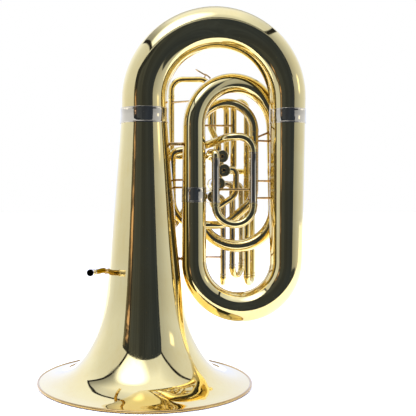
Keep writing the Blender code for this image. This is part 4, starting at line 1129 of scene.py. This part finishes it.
def make_soft_lamp():
    """A soft lamp at the right, out of view, that leaves a streak on the bow and on the bell."""
    material, nodes, blend, coordinates = new_material("soft_lamp", "ShaderNodeMixShader")
    place = coordinates["Generated"]
    _, across, up = nodes.add("ShaderNodeSeparateXYZ", {"Vector": place}).outputs
    mask = nodes.times(nodes.band(across, 0.25, 0.75, 0.5), nodes.band(up, 0.15, 0.85, 0.3))
    mask = nodes.times(mask, nodes.ramp(nodes.noise(place, 3.0), 0.2, 0.6, 0.8, 1.0))
    clear = nodes.add("ShaderNodeBsdfTransparent")
    glow = nodes.add("ShaderNodeEmission", {"Color": rgb(1.0, 1.0, 1.0), "Strength": 2.2})
    nodes.feed(blend, {0: mask, 1: clear.outputs[0], 2: glow.outputs[0]})
    angle, distance, half, low, high = math.radians(69), 3.0, 0.42, 0.95, 1.65
    centre = Vector((math.sin(angle), -math.cos(angle), 0.0)) * distance
    across = Vector((math.cos(angle), math.sin(angle), 0.0)) * half
    left, right = centre - across, centre + across
    corners = [at(left, low), at(right, low), at(right, high), at(left, high)]
    stage_quad("soft_lamp", corners, material, seen=False)


def make_world():
    """A white room that is darker low down on the player's side, where the table ends."""
    world = bpy.data.worlds.new("studio")
    bpy.context.scene.world = world
    world.use_nodes = True
    nodes = Nodes(world.node_tree)
    direction = nodes.add("ShaderNodeTexCoord").outputs["Generated"]
    across, away, up = nodes.add("ShaderNodeSeparateXYZ", {"Vector": direction}).outputs
    azimuth = nodes.math("DEGREES", nodes.math("ARCTAN2", across, nodes.times(away, -1.0)))
    height = nodes.math("DEGREES", nodes.math("ARCSINE", up))
    side = nodes.math("ABSOLUTE", azimuth)

    # The walls, left and right of the player, a little lighter behind the tuba and higher up
    left = nodes.ramp(azimuth, -130.0, -50.0, 0.8, 0.68)
    right = nodes.ramp(azimuth, 20.0, 105.0, 0.34, 0.74)
    wall = nodes.mix(nodes.ramp(azimuth, -5.0, 5.0), left, right)
    wall = nodes.scaled(nodes.ramp(side, 95.0, 140.0), 0.2, wall)
    wall = nodes.scaled(nodes.ramp(height, 0.0, 10.0), 0.08, wall)

    # The ceiling, where a direction climbs faster than the nearest wall: brighter overhead,
    # dimmer to the left, with a hot spot, and a dark seam along the walls
    side_wall, back_wall, front_wall = 1.15, 1.28, -0.93
    reach = nodes.math("MAXIMUM", nodes.math("ABSOLUTE", nodes.times(across, side_wall)), 0.01)
    for slope in (front_wall, back_wall):
        reach = nodes.math("MAXIMUM", reach, nodes.times(away, slope))
    rise = nodes.math("DIVIDE", up, reach)
    lean = nodes.math("DIVIDE", across, nodes.math("MAXIMUM", up, 0.05))
    ceiling = nodes.ramp(rise, 1.0, 2.6, 0.8, 1.1)
    ceiling = nodes.times(ceiling, nodes.ramp(lean, -0.86, -0.3, 0.4, 1.0))
    hot_spot = {0: direction, 1: (-0.295, -0.449, 0.843)}
    spot = nodes.add("ShaderNodeVectorMath", hot_spot, operation="DOT_PRODUCT").outputs["Value"]
    ceiling = nodes.scaled(nodes.ramp(spot, 0.9, 0.99), 1.7, ceiling)
    light = nodes.mix(nodes.ramp(rise, 1.0, 1.03), wall, ceiling)
    light = nodes.mix(nodes.band(rise, 0.94, 1.05, 0.03), light, 0.02)

    # The tint makes up for the brass's own, so that the highlights stay pale
    light = nodes.mix(1.0, light, rgb(1.0, 1.13, 1.58), blend="MULTIPLY")
    below = nodes.ramp(height, -12.0, -10.0, 1.0, 0.0)
    below_front = nodes.times(below, nodes.ramp(side, 58.0, 62.0, 1.0, 0.0))
    colour = nodes.mix(below_front, light, rgb(0.042, 0.054, 0.088))
    seen = nodes.add("ShaderNodeLightPath").outputs["Is Camera Ray"]
    colour = nodes.mix(seen, colour, 1.0)
    background = nodes.add("ShaderNodeBackground", {"Color": colour, "Strength": 1.0})
    nodes.add("ShaderNodeOutputWorld", {"Surface": background.outputs[0]})


def make_light(name, kind, energy, place=Vector(), way=-UP, **settings):
    """A light on the table top, unseen in the metal."""
    data = bpy.data.lights.new(name, kind)
    data.energy = energy
    for setting, value in settings.items():
        setattr(data, setting, value)
    light = placed(name, data)
    light.location = place
    light.rotation_euler = way.to_track_quat("-Z", "Y").to_euler()
    light.visible_glossy = False


def make_camera():
    """The photo's view: level, a little below the middle, with the tuba left of the centre."""
    data = bpy.data.cameras.new("camera")
    data.lens = 61.74
    data.sensor_width = 36.0
    data.shift_x = 0.1587
    data.shift_y = -0.0433
    data.clip_start = 0.02
    camera = placed("camera", data)
    camera.location = xyz(-0.0056, -1.673, 0.4474) + SHIFT
    camera.rotation_euler = (math.pi / 2, 0.0, 0.0)
    bpy.context.scene.camera = camera


make_large_bore()
make_inner_branches()
make_main_slide()
make_lower_slides()
make_fourth_slide()
make_water_key()
make_outlet_and_crossover()
for valve in (1, 2, 3, 4):
    make_casing(valve)
    make_caps(valve)
    make_piston(valve)
    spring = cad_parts[f"valve_spring_{valve}"]
    spring.data.materials.clear()
    spring.data.materials.append(STEEL)
make_leadpipe()
make_floor()
make_backdrop()
make_soft_lamp()
make_world()
above, down = xyz(0.0, 0.3, 2.6), xyz(0.0, -0.1, -2.6)
make_light("overhead", "AREA", 60.0, above, down, shape="SQUARE", size=2.4)
make_light("daylight", "SUN", 1.6, angle=math.radians(90))
make_camera()
bpy.context.scene.view_settings.view_transform = "Standard"
